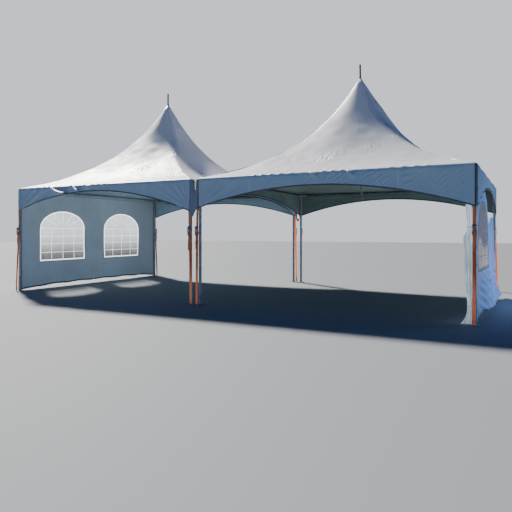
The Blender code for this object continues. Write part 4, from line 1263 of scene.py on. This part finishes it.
def ratchet_parts(place, end):
    """A ratchet on the strap: side plates, a slotted drum between toothed wheels, a handle with a
    grip, and the hinge bar, all turned parts and plates."""
    place = np.asarray(place, float)
    out = np.array([0.0, end, 0.0])
    parts = []
    outline = rounded_rectangle(0.032, 0.112, 0.012)
    teeth = round_profile(0.0195, 48, 12, 0.11)
    arm = rounded_rectangle(0.020, 0.105, 0.008)
    cap = [(0, 0), (0.0075, 0), (0.0085, 0.001), (0.0085, 0.003), (0.007, 0.004), (0, 0.004)]
    for across in (-1, 1):
        middle = place + (across * 0.029, 0, 0) + 0.017 * out
        wheel = middle + (across * 0.0035 - 0.0015, 0, 0)
        lifted = middle + (across * 0.0055, 0, 0.062) + 0.008 * out
        parts.append(slab(outline[:, ::-1], 0.0025, middle - (0.00125, 0, 0), (1, 0, 0), 0.0006, slot=1))
        parts.append(slab(teeth, 0.003, wheel, (1, 0, 0), 0.0004, slot=1))
        parts.append(turned(cap, middle + (across * 0.005, 0, 0), (across, 0, 0), 20, slot=1))
        parts.append(slab(arm[:, ::-1], 0.0022, lifted - (0.0011, 0, 0), (1, 0, 0), 0.0006, slot=1))
    drum = place + 0.017 * out
    parts.append(bar(drum, (0.036, 0, 0), 0.0105, 24, slot=1))
    coil = [(0, -0.023), (0.018, -0.023), (0.0195, -0.021), (0.0195, 0.021), (0.018, 0.023), (0, 0.023)]
    parts.append(turned(coil, drum, (1, 0, 0), 32, slot=0))
    parts.append(bar(place + 0.018 * out + (0, 0, -0.045), (0.030, 0, 0), 0.0045, 16, slot=1))
    parts.append(bar(place + (0, 0, 0.118) + 0.026 * out, (0.036, 0, 0), 0.0085, 20, slot=2))
    pad = rounded_rectangle(0.052, 0.050, 0.008)
    parts.append(slab(pad, 0.006, place + (0, 0, 0.085) + 0.023 * out, out, 0.002, slot=3))
    return parts


def make_strap(bay, end_name, side):
    """A tie-down strap: webbing along its route, a ratchet, the spare end that hangs from it and a
    hook on the stake."""
    corner = f"{bay}_{end_name}_{side}"
    end = ENDS[end_name]
    leg = middle_of(f"leg_{corner}")
    route = strap_route(leg, end, STRAP_SHIFTS[corner], STRAP_LEAN.get(corner, 0.0))
    flat = rounded_rectangle(STRAP_WIDTH, STRAP_THICKNESS, STRAP_THICKNESS * 0.45, 3)
    height = route[:, 2]
    twist = 0.10 * np.sin(2.1 * height + leg[0]) * ease((height - 0.15) / 0.3) * ease((1.80 - height) / 0.2)
    parts = [swept(route, flat, (0, 1, 0), twist=twist)]
    at = np.array([np.interp(RATCHET_HEIGHT, height[::-1], route[::-1, axis]) for axis in range(3)])
    parts += ratchet_parts(at, end)
    spare = np.linspace(0, 1, 60)
    length = 0.34 + 0.05 * math.sin(3.7 * leg[0] + leg[1])
    bulge = 0.010 + 0.020 * np.sin(np.pi * spare) * (1 - 0.5 * spare)
    tail = at + np.stack([0.006 * np.sin(5 * spare), end * bulge, -0.012 - length * spare], axis=1)
    parts.append(swept(tail, flat * (0.96, 0.8), (0, 1, 0), twist=0.35 * np.sin(2.6 * spare)))
    stake = middle_of(f"stake_{corner}")
    loop = rounded_rectangle(0.060, 0.040, 0.012, 6)
    hook = (stake[0], end * (abs(stake[1]) + 0.013), 0.062)
    path = aim(np.column_stack([loop, 0 * loop[:, 0]]), hook, (0, 1, 0))
    parts.append(swept(path, round_profile(0.0035, 10), (0, 1, 0), loop=True, slot=1))
    finishes = [STRAP_CLOTH.get(corner, "webbing"), "zinc", "grip", "handle"]
    fitting(f"tie_down_{corner}", parts, finishes, "orange_webbing", f"ratchet_strap_{corner}")


def make_stake(corner):
    """A ground stake above the ground: a turned bar with a hammered head."""
    node = f"stake_{corner}"
    x, y, _ = middle_of(node)
    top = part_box(node)[1].z
    radius = STAKE_RADIUS
    profile = [
        (0, 0), (radius - 0.001, 0), (radius - 0.001, top - 0.022), (radius, top - 0.018),
        (radius, top - 0.006), (radius - 0.002, top - 0.001), (radius - 0.006, top), (0, top),
    ]
    parts = [turned(profile, (x, y, 0), sides=28)]
    fitting(f"ground_stake_{corner}", parts, ["zinc"], "stake_steel", node)


# Rain gutter: its trough, and the tongues that hang at its ends
GUTTER_HALF = 0.0697
GUTTER_SAG = 0.060
GUTTER_LIP = EAVE_HEIGHT - 0.02
GUTTER_STEP = 0.0035
GUTTER_FACE = HALF + GUTTER_STEP
GUTTER_DRIFT = 0.044
TONGUE_TURN = 0.022
TONGUE_HALF = 0.090
TONGUE_TIP_HALF = 0.020
TONGUE_SHOULDER = EAVE_HEIGHT - 0.53
TONGUE_TIP = EAVE_HEIGHT - 0.735


def tongue_rows():
    """Rows of the gutter's sheet from its lip down to a tongue's tip, as (distance out, height, half
    width, dish): a quarter turn, then a straight fall that narrows from its shoulder."""
    turn = np.linspace(0.15, 1, 8) * np.pi / 2
    start = GUTTER_LIP - TONGUE_TURN
    height = start + (TONGUE_TIP - start) * np.linspace(0, 1, 34)[1:]
    taper = np.clip((height - TONGUE_TIP) / (TONGUE_SHOULDER - TONGUE_TIP), 0, 1)
    fullness = TONGUE_HALF - TONGUE_TIP_HALF + 0.014 * bell(height, 1.92, 0.09)
    half = TONGUE_TIP_HALF + fullness * ease(taper * 1.05) ** 0.75
    widened = GUTTER_HALF + (TONGUE_HALF - GUTTER_HALF) * ease((turn / (np.pi / 2) - 0.2) / 0.5)
    dish = 0.030 * ease((height - 2.05) / 0.3) + 0.004
    turning = (
        HALF + GUTTER_STEP * np.sin(turn),
        GUTTER_LIP - TONGUE_TURN * (1 - np.cos(turn)),
        widened,
        GUTTER_SAG - 0.026 * np.sin(turn),
    )
    falling = (np.full(len(height), GUTTER_FACE), height, half, dish)
    return np.concatenate([turning, falling], axis=1)


def make_gutter():
    """The rain gutter: a trough lip - sag (1 - c^2) along Y that turns down at each end into a
    pointed tongue, as one sheet."""
    columns = np.linspace(-1, 1, 17)
    back = tongue_rows()
    front = back[:, ::-1] * [[-1], [1], [1], [1]]
    along = np.linspace(-HALF, HALF, 90)
    trough = [along, *[np.full(len(along), value) for value in (GUTTER_LIP, GUTTER_HALF, GUTTER_SAG)]]
    y, z, half, sag = np.concatenate([front, trough, back], axis=1)[:, :, None]
    x = half * columns - GUTTER_DRIFT * ease((EAVE_HEIGHT - 0.25 - z) / 0.45) * (y < 0)
    dish = sag * (1 - (np.clip(np.abs(x), 0, GUTTER_HALF) / GUTTER_HALF) ** 2)
    hanging = np.clip((np.abs(y) - HALF) / GUTTER_STEP, 0, 1)
    crease = 0.0015 * np.sin(9 * columns) * hanging
    drawn_in = y - np.sign(y) * (hanging * dish - crease)
    dished = z - (1 - hanging) * dish + 0.004 * np.sin(4.1 * y) * (1 - hanging)
    grid = np.stack([x, drawn_in, dished], axis=2)
    # Painted shade: the hanging tongues take the valance's blue-grey tone, the sunlit back one only a share
    # of it, and the trough a little
    tongue_shade = (0.35 + 0.65 * hanging) * np.where(y > 0, SUNLIT_VALANCE_SHADE, 1.0)
    marks = {name: np.zeros(x.shape) for name in ("pucker", "seam")}
    marks["valance"] = np.broadcast_to(tongue_shade, x.shape)[::-1]
    gutter = cloth(
        "gutter", [surface(grid[::-1])], ["gutter", "shaded_lining"], "roof_vinyl", 0.002, "rain_gutter",
        other_side=1, marks=marks,
    )


def make_gutter_ties():
    """A cream tie strap over each tongue, whose pale tone and glow also paint the bright slit of light there,
    and a pale seam strip behind the back one whose glow paints the sunlight seen through the gap.
    """
    height = np.linspace(EAVE_HEIGHT - 0.045, EAVE_HEIGHT - 0.22, 24)
    parts = []
    for way in (-1, 1):
        out = way * (GUTTER_FACE + 0.004 - 0.010 * ease((height - 2.3) / 0.1))
        path = np.stack([np.full(len(height), 0.034), out, height], axis=1)
        width = 0.55 + 0.45 * ease((height - height[-1]) / 0.12)
        parts.append(swept(path, rounded_rectangle(0.027, 0.002, 0.0009, 3), (0, 1, 0), scale=width))
    height = np.linspace(EAVE_HEIGHT - 0.10, EAVE_HEIGHT - 0.66, 40)
    out = np.full(len(height), GUTTER_FACE - 0.040)
    path = np.stack([0.030 + 0.004 * np.sin(9 * height), out, height], axis=1)
    parts.append(swept(path, rounded_rectangle(0.056, 0.002, 0.0009, 3), (0, 1, 0), slot=1))
    fitting("gutter_ties", parts, ["tie_and_slit_light", "seam_and_gap_light"], "roof_vinyl")


# Points on a window's outline: along its sill, up each side and over its arch
WINDOW_STEPS = (30, 16, 48)


def arch_outline(low, high, arch, grow=0.0, steps=WINDOW_STEPS):
    """An arched window's outline in (y, z), from its lower left corner: the sill, a side, half an
    ellipse over the spring line, and the other side. grow moves it outward."""
    sill_steps, side_steps, arch_steps = steps
    half = (high[0] - low[0]) / 2 + grow
    middle = (high[0] + low[0]) / 2
    sill = low[1] - grow
    spring = high[1] - arch
    sill_y = middle + half * np.linspace(-1, 1, sill_steps, endpoint=False)
    up = np.linspace(0, 1, side_steps, endpoint=False)
    angle = np.linspace(0, np.pi, arch_steps, endpoint=False)
    right = np.full(side_steps, middle + half)
    left = np.full(side_steps, middle - half)
    sill_z = np.full(sill_steps, sill)
    arch_z = spring + (arch + grow) * np.sin(angle)
    y = np.concatenate([sill_y, right, middle + half * np.cos(angle), left])
    z = np.concatenate([sill_z, sill + (spring - sill) * up, arch_z, spring + (sill - spring) * up])
    return np.stack([y, z], axis=1)


def edge_places(steps=WINDOW_STEPS, shoulder=0.45):
    """Places on the edges of a sheet, as (across, up) from 0 to 1, that match a window's outline
    point by point: its arch goes with the upper part of the sides and with the top."""
    sill_steps, side_steps, arch_steps = steps
    upper_steps = arch_steps // 4
    top_steps = arch_steps - 2 * upper_steps
    up = np.linspace(0, shoulder, side_steps, endpoint=False)
    upper = np.linspace(shoulder, 1, upper_steps, endpoint=False)
    sill = np.linspace(0, 1, sill_steps, endpoint=False)
    top = np.linspace(1, 0, top_steps, endpoint=False)
    side = side_steps + upper_steps
    across = np.concatenate([sill, np.ones(side), top, np.zeros(side)])
    falling = 1 - (upper - shoulder)
    rise = np.concatenate([np.zeros(sill_steps), up, upper, np.ones(top_steps), falling, shoulder - up])
    return across, rise


def window_patch(low, high, arch, edge, rings=22):
    """Cloth between an arched window and the edges of its sheet, in (y, z): rings that go from the
    outline to the edges, closer together near the outline."""
    inner = arch_outline(low, high, arch)
    share = np.linspace(0, 1, rings)[:, None, None] ** 1.15
    return inner + share * (edge - inner)


def window_band(low, high, arch, inner, outer, rows=3):
    """A band along an arched window's outline in (y, z), from one growth of it to another."""
    grows = np.linspace(inner, outer, rows)
    return np.stack([arch_outline(low, high, arch, grow) for grow in grows])


def window_fill(low, high, arch, rows=24, columns=31):
    """A pane in (y, z): columns across it, each from the sill up to the arch
    spring + arch sqrt(1 - p^2)."""
    place = np.sin(np.linspace(-1, 1, columns) * np.pi / 2)
    half = (high[0] - low[0]) / 2
    top = high[1] - arch + arch * np.sqrt(np.clip(1 - place**2, 0, 1))
    share = np.linspace(0, 1, rows)[:, None]
    y = (high[0] + low[0]) / 2 + half * place + 0 * share
    return np.stack([y, low[1] + share * (top - low[1])], axis=2)


def bar_lines(low, high, arch, levels, fan):
    """The window's bars as lines in (y, z): three upright ones, level ones, and a fan of rays in
    the arch, from the middle of its base."""
    middle = (low[0] + high[0]) / 2
    half = (high[0] - low[0]) / 2
    spring = high[1] - arch
    lines = []
    for place in (-0.5, 0.0, 0.5):
        top = spring if fan else spring + arch * math.sqrt(1 - place**2)
        lines.append(((middle + place * half, low[1]), (middle + place * half, top)))
    for level in levels:
        lines.append(((low[0], level), (high[0], level)))
    for angle in np.radians([36, 63, 90, 117, 144]) if fan else []:
        inner = 0.30
        start = (middle + inner * half * math.cos(angle), spring + inner * arch * math.sin(angle))
        lines.append((start, (middle + half * math.cos(angle), spring + arch * math.sin(angle))))
    return lines


def bar_band(line, width=0.009, steps=40):
    """One bar in (y, z): a straight band of even width."""
    start, end = np.array(line)
    run = unit(end - start)
    side = np.array([-run[1], run[0]]) * width / 2
    path = start + np.linspace(0, 1, steps)[:, None] * (end - start)
    return np.stack([path + side, path, path - side])


WALL_LOW, WALL_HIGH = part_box("side_wall_left")
WALL_FACE = WALL_LOW.x + 0.0018
WALL_TOP = WALL_HIGH.z
WALL_HALF = WALL_HIGH.y
LEFT_ARCH = 0.435
LEFT_BAR_DROPS = (0.0, 0.20, 0.39, 0.605)
HEM_GAP = 0.0085
HEM_LIFT = 0.075

# How far a window's pale border and its dark outline, a painted shadow line round the border, reach, inward
# and outward of its edge
BORDER_INNER = -0.022
BORDER_OUTER = 0.006
OUTLINE_OUTER = 0.019


def left_wall(flat, lift=0.0):
    """Places of (y, z) on the left wall: x = face + lift + folds, where slow unevenness and
    standing folds grow from nothing at the tube and the legs, and its front edge waves."""
    y, z = flat[..., 0], flat[..., 1]
    free = ease((WALL_TOP - 0.05 - z) / 0.5) * ease((WALL_HALF - np.abs(y)) / 0.35)
    folds = 0.012 + 0.012 * rolling(y, z, 1.25, 51)
    folds += 0.0055 * (1 + np.sin(2 * np.pi * y / 0.62 + 0.9 * z)) * ease((1.0 - z) / 0.9)
    folds += 0.006 * (1 + np.sin(2 * np.pi * (y - 0.5 * z) / 0.34)) * bell(z, 2.1, 0.3)
    low = ease((0.30 - z) / 0.25)
    folds += low * 0.010 * (1 + np.sin(2 * np.pi * y / 0.37 + 0.6)) * ease((WALL_HALF - np.abs(y)) / 0.2)
    edge = ease((np.abs(y) - (WALL_HALF - 0.25)) / 0.25) * ease((1.85 - z) / 0.3)
    wave = edge * (0.006 * np.sin(5.3 * z + 1.0) - 0.008)
    x = WALL_FACE + lift + free * folds.clip(0)
    return np.stack([x, y + np.sign(y) * wave, z], axis=-1)


def left_hem(y):
    """Height of the left wall's hem: raised between the corners as 1 - (y / half)^4, and waved."""
    raised = HEM_GAP + HEM_LIFT * (1 - (y / WALL_HALF) ** 4)
    return raised + 0.007 * np.sin(2 * np.pi * y / 0.83) * ease((WALL_HALF - np.abs(y)) / 0.4)


def left_wall_edge(start, end):
    """The edges of half of the left wall in (y, z), between two places across it."""
    across, rise = edge_places()
    y = start + across * (end - start)
    hem = left_hem(y)
    return np.stack([y, hem + rise * (WALL_TOP - hem)], axis=1)


def make_window(label, low, high, arch, place_on, levels, fan, finish, border_finish):
    """One arched window: its hazy pane, pale border, dark outline painted as the border's shadow line, and
    bars, laid on its wall.
    """
    fill = surface(place_on(window_fill(low, high, arch)))
    pane = cloth(f"pane_{label}", [fill], [finish], "clear_vinyl", 0.001, f"window_{label}", offset=0.0)
    white = []
    for first, last, lift in ((BORDER_INNER, BORDER_OUTER, 0.0022), (BORDER_OUTER, BORDER_INNER, -0.0022)):
        white.append(surface(place_on(window_band(low, high, arch, first, last), lift), around=True))
    for line in bar_lines(low, high, arch, levels, fan):
        white.append(surface(place_on(bar_band(line), 0.0012), slot=1))
    finishes = [border_finish, "bar_tape" if fan else border_finish]
    border = cloth(f"window_border_{label}", white, finishes, "wall_vinyl", 0.0012, offset=0.0)
    # The dark outline is a painted shadow line round the border
    band = window_band(low, high, arch, BORDER_OUTER, OUTLINE_OUTER)
    dark = surface(place_on(band, 0.0016), around=True)
    outline = cloth(f"window_outline_{label}", [dark], ["dark_tape_and_shade"], "wall_vinyl", 0.001, offset=0.0)
    return border, outline


def make_left_wall():
    """The left bay's side wall with its two windows, as rings of cloth around each."""
    patches = []
    trims = []
    for end_name, start, end in (("front", -WALL_HALF, 0.0), ("back", 0.0, WALL_HALF)):
        low, high = [tuple(corner)[1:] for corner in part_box(f"window_left_{end_name}")]
        patch = window_patch(low, high, LEFT_ARCH, left_wall_edge(start, end))
        patches.append(surface(left_wall(patch), around=True))
        levels = [high[1] - LEFT_ARCH - drop for drop in LEFT_BAR_DROPS]
        label = f"left_{end_name}"
        trims += make_window(
            label, low, high, LEFT_ARCH, left_wall, levels, True, "pane", "white_tape"
        )
    wall = cloth(
        "left_wall", patches, ["wall_inside", "wall_outside"], "wall_vinyl", 0.0015, "side_wall_left",
        other_side=1,
    )
    y = WALL_HALF * np.linspace(-1, 1, 160)
    hem_line = np.stack([y, left_hem(y)], axis=1)
    rows = [left_wall(hem_line + (0, rise), 0.0016) for rise in (0.0, 0.02, 0.04)]
    hem = cloth("left_wall_hem", [surface(np.stack(rows))], ["hem_tape"], "wall_vinyl", 0.001, offset=0.0)


# Slack wall of the right bay, as the frame's solid hangs
SLACK_LENGTH = 3.82
SLACK_TOP_HELD = 1.10
SLACK_TOP_FALLEN = 2.55
SLACK_TOP_DROP = 0.86
SLACK_FLAT_LENGTH = 1.70
SLACK_FOLD_DEPTH = 0.030
SLACK_FOLD_LENGTH = 0.62
SLACK_ARCH = 0.46
SLACK_MIDDLE = BAY_OFFSET + HALF - 0.0063
SLACK_START = -WALL_HALF
SLACK_SPLIT = 1.86

# Height over which the slack wall comes out from behind the valance's hem
VALANCE_KEEP = 0.12


def slack_edges(run):
    """Heights of the slack wall's hem and top at a distance from its front end: the top falls
    smoothly from the eave tube and rises a little at its free end, and the hem lifts off the ground
    behind the leg and sinks again towards the free end, ragged all along."""
    fallen = ease((run - SLACK_TOP_HELD) / (SLACK_TOP_FALLEN - SLACK_TOP_HELD))
    top = BEAM_HEIGHT - SLACK_TOP_DROP * fallen + 0.17 * ease((run - 2.95) / 0.8)
    hem = HEM_GAP + 0.115 * ease(run / 0.3) * (1 - 0.6 * ease((run - 0.4) / 1.6))
    ragged = 0.020 * np.sin(2 * np.pi * run / 0.37 + 0.8) + 0.014 * np.sin(2 * np.pi * run / 0.15)
    return hem + ragged.clip(0) * ease(run / 0.3), top


def slack_wall(flat, lift=0.0):
    """Places of (y, z) on the slack wall: x = middle + lift + waves - depth + blown + lean + kick.

    The sheet is blown outward beside its window, leans out, kicks out at its hem as the ninth and
    fifth powers of its depth, and waves along its loose stretch. It keeps behind the valance above
    the valance's hem. Drag folds run down to its free corner below the window as sin of (height +
    slope times run), and folds hang beside the window.
    """
    y, z = flat[..., 0], flat[..., 1]
    run = y - SLACK_START
    loose = np.clip((run - SLACK_FLAT_LENGTH) / (SLACK_LENGTH - SLACK_FLAT_LENGTH), 0, 1)
    hem, top = slack_edges(run)
    rise = np.clip((z - hem) / (top - hem), 0, 1)
    wave = SLACK_FOLD_DEPTH * loose * np.sin(2 * np.pi * (run - SLACK_FLAT_LENGTH) / SLACK_FOLD_LENGTH)
    held = ease((1 - rise) / 0.25)
    blown = 0.048 * ease((run - 0.15) / 1.1) * ease((3.0 - run) / 1.3) * (1 - rise) ** 0.5 * held
    lean = 0.045 * ease(run / 2.5) * (1 - rise)
    kick = 0.085 * ease((run - 0.1) / 3.2) * (1 - rise) ** 9
    kick += 0.045 * ease((run - 2.6) / 1.2) * (1 - rise) ** 5
    below = ease((0.88 - z) / 0.25)
    beside = ease((run - SLACK_FLAT_LENGTH + 0.05) / 0.25)
    drag = z + 0.31 * run + 0.014 * rolling(run, z, 0.6, 73)
    folds = 0.5 + 0.5 * np.sin(2 * np.pi * drag / 0.138 + 0.6)
    dragged = 0.036 * (folds**2.5 - 0.3) * below * ease((run - 0.15) / 0.7)
    swing = np.sin(2 * np.pi * (run + 0.10 * z) / 0.38 + 0.9 * np.sin(2.7 * z))
    hang = 0.016 * swing * beside * (1 - 0.6 * below)
    hem_folds = 0.014 * np.sin(2 * np.pi * (run - 0.3 * z) / 0.22 + np.sin(5 * run)) * ease((0.35 - z) / 0.3)
    soft = 0.007 * rolling(run, z, 0.6, 72) * ease(run / 0.3) * ease((1 - rise) / 0.3)
    below_valance = ease((valance_hem("right", 1, y / HALF) - z) / VALANCE_KEEP)
    standing = (blown + lean + soft) * below_valance + kick + dragged + hang + hem_folds * ease(run / 0.25)
    x = SLACK_MIDDLE + lift + wave - SLACK_FOLD_DEPTH * loose + standing
    return np.stack([x, y, z], axis=-1)


def make_slack_wall():
    """The right bay's slack wall: rings of cloth around its window, and a hanging stretch beyond
    it whose rows meet the rings' edge point by point."""
    low, high = [tuple(corner)[1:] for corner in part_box("window_right_front")]
    across, rise = edge_places()
    run = across * SLACK_SPLIT
    hem, top = slack_edges(run)
    edge = np.stack([SLACK_START + run, hem + rise * (top - hem)], axis=1)
    patch = surface(slack_wall(window_patch(low, high, SLACK_ARCH, edge)), around=True)
    beyond = np.linspace(SLACK_SPLIT, SLACK_LENGTH, 84)
    rows = np.concatenate([rise[across == 1.0], [1.0]])[:, None]
    hem, top = slack_edges(beyond)
    stretch = np.stack([SLACK_START + beyond + 0 * rows, hem + rows * (top - hem)], axis=2)
    hanging = surface(slack_wall(stretch[::-1]))
    spring = high[1] - SLACK_ARCH
    levels = (spring, spring - 0.21, low[1] + 0.21)
    label = "right_front"
    trims = make_window(
        label, low, high, SLACK_ARCH, slack_wall, levels, False, "brown_pane", "shaded_white_tape"
    )
    wall = cloth(
        "slack_wall", [patch, hanging], ["slack", "wall_inside"], "wall_vinyl", 0.0015, "side_wall_right",
        other_side=1,
    )


# The bunch's width at each share of its height, its pleats, and the heights of its cords and how far each
# reaches
BUNCH_WIDTHS = (
    (0.00, 0.170), (0.02, 0.125), (0.06, 0.080), (0.12, 0.064), (0.20, 0.078), (0.29, 0.100),
    (0.40, 0.104), (0.50, 0.110), (0.565, 0.136), (0.595, 0.126), (0.62, 0.064), (0.68, 0.070),
    (0.76, 0.090), (1.00, 0.090),
)
BUNCH_PLEATS = 2.5
BUNCH_TIES = (0.30, 1.475)
BUNCH_TIE_REACH = 0.033


def make_bunch():
    """The rest of the right wall bunched up beside its leg: a sheet folded to and fro in pleats,
    y = depth sin(2 pi n s), whose width changes with its height and whose pleats wander a little on
    the way down, with the cords that hold it."""
    low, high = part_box("wall_bunch_right")
    against = high.x - 0.003
    middle = (low.y + high.y) / 2
    rise = np.linspace(0, 1, 130)[:, None]
    share = np.linspace(0, 1, 170)
    shares, widths = np.array(BUNCH_WIDTHS).T
    width = np.interp(rise, shares, widths)
    kernel = np.ones(7) / 7
    width[3:-3, 0] = np.convolve(width[:, 0], kernel, "valid")
    width = width - 0.006
    wander = 0.9 * np.sin(2.2 * np.pi * rise) + 0.9 * np.sin(13 * rise + 4 * share)
    phase = 2 * np.pi * BUNCH_PLEATS * share + wander
    envelope = 0.45 + 0.55 * np.sqrt(np.clip(1 - (2 * share - 1) ** 2, 0, 1))
    depth = (high.y - low.y) / 2 * (0.86 + 0.12 * np.sin(11 * rise + 7 * share)) * envelope
    rucks = 0.006 * np.sin(2 * np.pi * (9 * rise + 1.6 * share) + 2 * np.sin(7 * rise)) * ease(rise / 0.1)
    crumple = 0.005 * rolling(share, 3 * rise, 0.32, 61) + 0.003 * rolling(share, 3 * rise, 0.13, 62)
    tail = 0.012 * ease((0.06 - rise) / 0.06) * np.sin(7 * share) ** 2
    x = against - width * (share + 0.018 * np.cos(2 * phase))
    y = middle + depth * np.sin(phase) * 0.86 + (rucks + crumple) * envelope
    z = low.z + rise * (high.z - low.z) + tail
    pleats = surface(np.stack([x, y, z], axis=2))
    bunch = cloth("bunched_wall", [pleats], ["bunch"], "wall_vinyl", 0.0012, "wall_bunch_right", offset=0.0)
    height = high.z - low.z
    angle = np.linspace(0, 2 * np.pi, 48, endpoint=False)
    parts = []
    for height in BUNCH_TIES:
        x = against - BUNCH_TIE_REACH + (BUNCH_TIE_REACH + 0.006) * np.cos(angle)
        path = np.stack([x, middle + 0.036 * np.sin(angle), height + 0.01 * np.sin(angle)], axis=1)
        parts.append(swept(path, round_profile(0.0035, 10), (0, 0, 1), loop=True))
    fitting("bunch_ties", parts, ["cord"], "wall_vinyl")


def make_corner_ties():
    """White cords that hold each lower corner of the valances to its leg: a loop round the leg, a
    short run to the corner and the knot on it."""
    parts = []
    for bay, end_name, side in CORNERS:
        leg = middle_of(f"leg_{bay}_{end_name}_{side}")
        end = ENDS[end_name]
        away = 1 if leg[0] > bay_middle(bay) else -1
        height = VALANCE_CORNER - 0.035
        parts.append(ring((leg[0], leg[1], height), (0, 0.12, 1), TUBE_RADIUS + 0.003, 0.0032, 32, 8))
        start = np.array([leg[0] + away * 0.030, leg[1] + end * 0.020, height])
        stop = np.array([leg[0] + away * 0.026, leg[1] + end * 0.036, VALANCE_CORNER + 0.010])
        share = np.linspace(0, 1, 16)[:, None]
        bow = np.array([away * 0.004, end * 0.003, 0])
        path = start + share * (stop - start) + np.sin(np.pi * share) * bow
        parts.append(swept(path, round_profile(0.0032, 8, 3, 0.12), (1, 0, 0.3), twist=np.linspace(0, 9, 16)))
        knot = [(0, -0.012), (0.007, -0.010), (0.010, -0.003), (0.0085, 0.002), (0.010, 0.007), (0, 0.012)]
        parts.append(turned(knot, start + (0, end * 0.008, -0.002), (0.3, 0.2, 1), 16))
        for lean in (-0.4, 0.5):
            tail_end = start + (lean * 0.03, end * 0.012, -0.055)
            parts.append(rod(start + (0, end * 0.008, 0), tail_end, 0.0024, 8))
    fitting("corner_ties", parts, ["cord"], "roof_vinyl")


def make_wall_ties():
    """Loops that hold the left wall's upright edges to their legs, each with a toggle."""
    parts = []
    for end_name, end in ENDS.items():
        leg = middle_of(f"leg_left_{end_name}_outer")
        for height in (0.42, 0.98, 1.52):
            loop = (leg[0] - 0.002, leg[1], height)
            parts.append(ring(loop, (0, 0.1, 1), TUBE_RADIUS + 0.0035, 0.003, 32, 8))
            toggle = (leg[0] + 0.012, leg[1] - end * 0.034, height)
            parts.append(bar(toggle, (0, 0, 0.020), 0.0065, 14, 0.4))
    fitting("wall_ties", parts, ["cord"], "wall_vinyl")


def make_wall_hooks():
    """Split rings that carry the walls on the eave tubes: a torus round the tube at each eyelet."""
    for name, side, places in (
        ("left", -1, np.linspace(-2.15, 2.15, 10)),
        ("right", 1, np.linspace(-2.2, -1.75, 2)),
    ):
        x = side * (BAY_OFFSET + LEG_OFFSET)
        parts = []
        for y in places:
            parts.append(ring((x, y, BEAM_HEIGHT), (0, 1, 0.05), TUBE_RADIUS + 0.0024, 0.0018, 36, 8))
        fitting(f"wall_rings_{name}", parts, ["zinc"], "corner_casting")


def make_floor():
    """A plain pale floor."""
    mesh = bpy.data.meshes.new("floor")
    reach = FLOOR_REACH
    corners = [(-reach, -reach, 0), (reach, -reach, 0), (reach, reach, 0), (-reach, reach, 0)]
    mesh.from_pydata(corners, [], [(0, 1, 2, 3)])
    mesh.materials.append(new_material("floor", Base_Color=FLOOR_COLOUR, Roughness=0.8)[0])
    add_object("floor", mesh)


def make_camera():
    """The camera at the photograph's place."""
    lens = bpy.data.cameras.new("camera")
    lens.lens = CAMERA_LENS
    lens.sensor_width = CAMERA_SENSOR
    lens.shift_x, lens.shift_y = CAMERA_SHIFT
    camera = add_object("camera", lens)
    camera.location = CAMERA_PLACE
    camera.rotation_euler = (math.pi / 2, 0, CAMERA_TURN)
    bpy.context.scene.camera = camera


def add_lamp(name, kind, strength, colour, way):
    """A lamp that lies the given way from what it lights, as (its object, its data)."""
    lamp = bpy.data.lights.new(name, kind)
    lamp.energy = strength
    lamp.color = colour
    made = add_object(name, lamp)
    made.rotation_euler = Vector(way).to_track_quat("Z", "Y").to_euler()
    return made, lamp


def make_light():
    """A sun from behind the left bay, a soft blue panel low on the right, and a sky that lights
    from low down, blue on the right, and shows pale."""
    _, sun = add_lamp("sun", "SUN", SUN_STRENGTH, SUN_COLOUR, SUN_WAY)
    sun.angle = SUN_WIDTH
    fill_way = Vector(FILL_PLACE) - Vector(FILL_AIM)
    fill, fill_lamp = add_lamp("fill", "AREA", FILL_POWER, FILL_COLOUR, fill_way)
    fill_lamp.shape = "RECTANGLE"
    fill_lamp.size, fill_lamp.size_y = FILL_SIZE
    fill_lamp.spread = FILL_SPREAD
    fill.location = FILL_PLACE
    world = bpy.data.worlds.new("sky")
    world.use_nodes = True
    bpy.context.scene.world = world
    tree = world.node_tree
    light = tree.nodes["Background"]
    way = split(tree, add_node(tree, "TexCoord").outputs["Generated"])
    low = mixed(tree, span(tree, way[0], -1.0, 1.0), SKY_LEFT, SKY_RIGHT)
    low = mixed(tree, span(tree, way[1], 0.1, 1.0, 0.0, SKY_BEHIND), low, BLACK)
    tone = mixed(tree, span(tree, way[2], 0.05, SKY_TOP_RISE), low, SKY_TOP)
    feed(tree, light.inputs, Color=tone)
    shown = add_node(tree, "Background", {"Color": opaque(BACKDROP_COLOUR), "Strength": BACKDROP_STRENGTH})
    seen = add_node(tree, "LightPath").outputs["Is Camera Ray"]
    blend = add_node(tree, "MixShader", {0: seen, 1: light.outputs[0], 2: shown.outputs[0]})
    feed(tree, tree.nodes["World Output"].inputs, Surface=blend.outputs[0])


def main():
    """Everything round the frame."""
    make_camera()
    make_light()
    make_floor()
    for bay in BAYS:
        make_canopy(bay)
        make_crown(bay)
        make_king_pole(bay)
        make_cables(bay)
        for side in SIDES:
            make_eave_tube(bay, side)
    for bay, end, side in CORNERS:
        make_leg(bay, end, side)
        make_fitting_trim(bay, end, side)
        make_strap(bay, end, side)
        make_stake(f"{bay}_{end}_{side}")
    make_gutter()
    make_gutter_ties()
    make_left_wall()
    make_slack_wall()
    make_bunch()
    make_corner_ties()
    make_wall_ties()
    make_wall_hooks()


main()
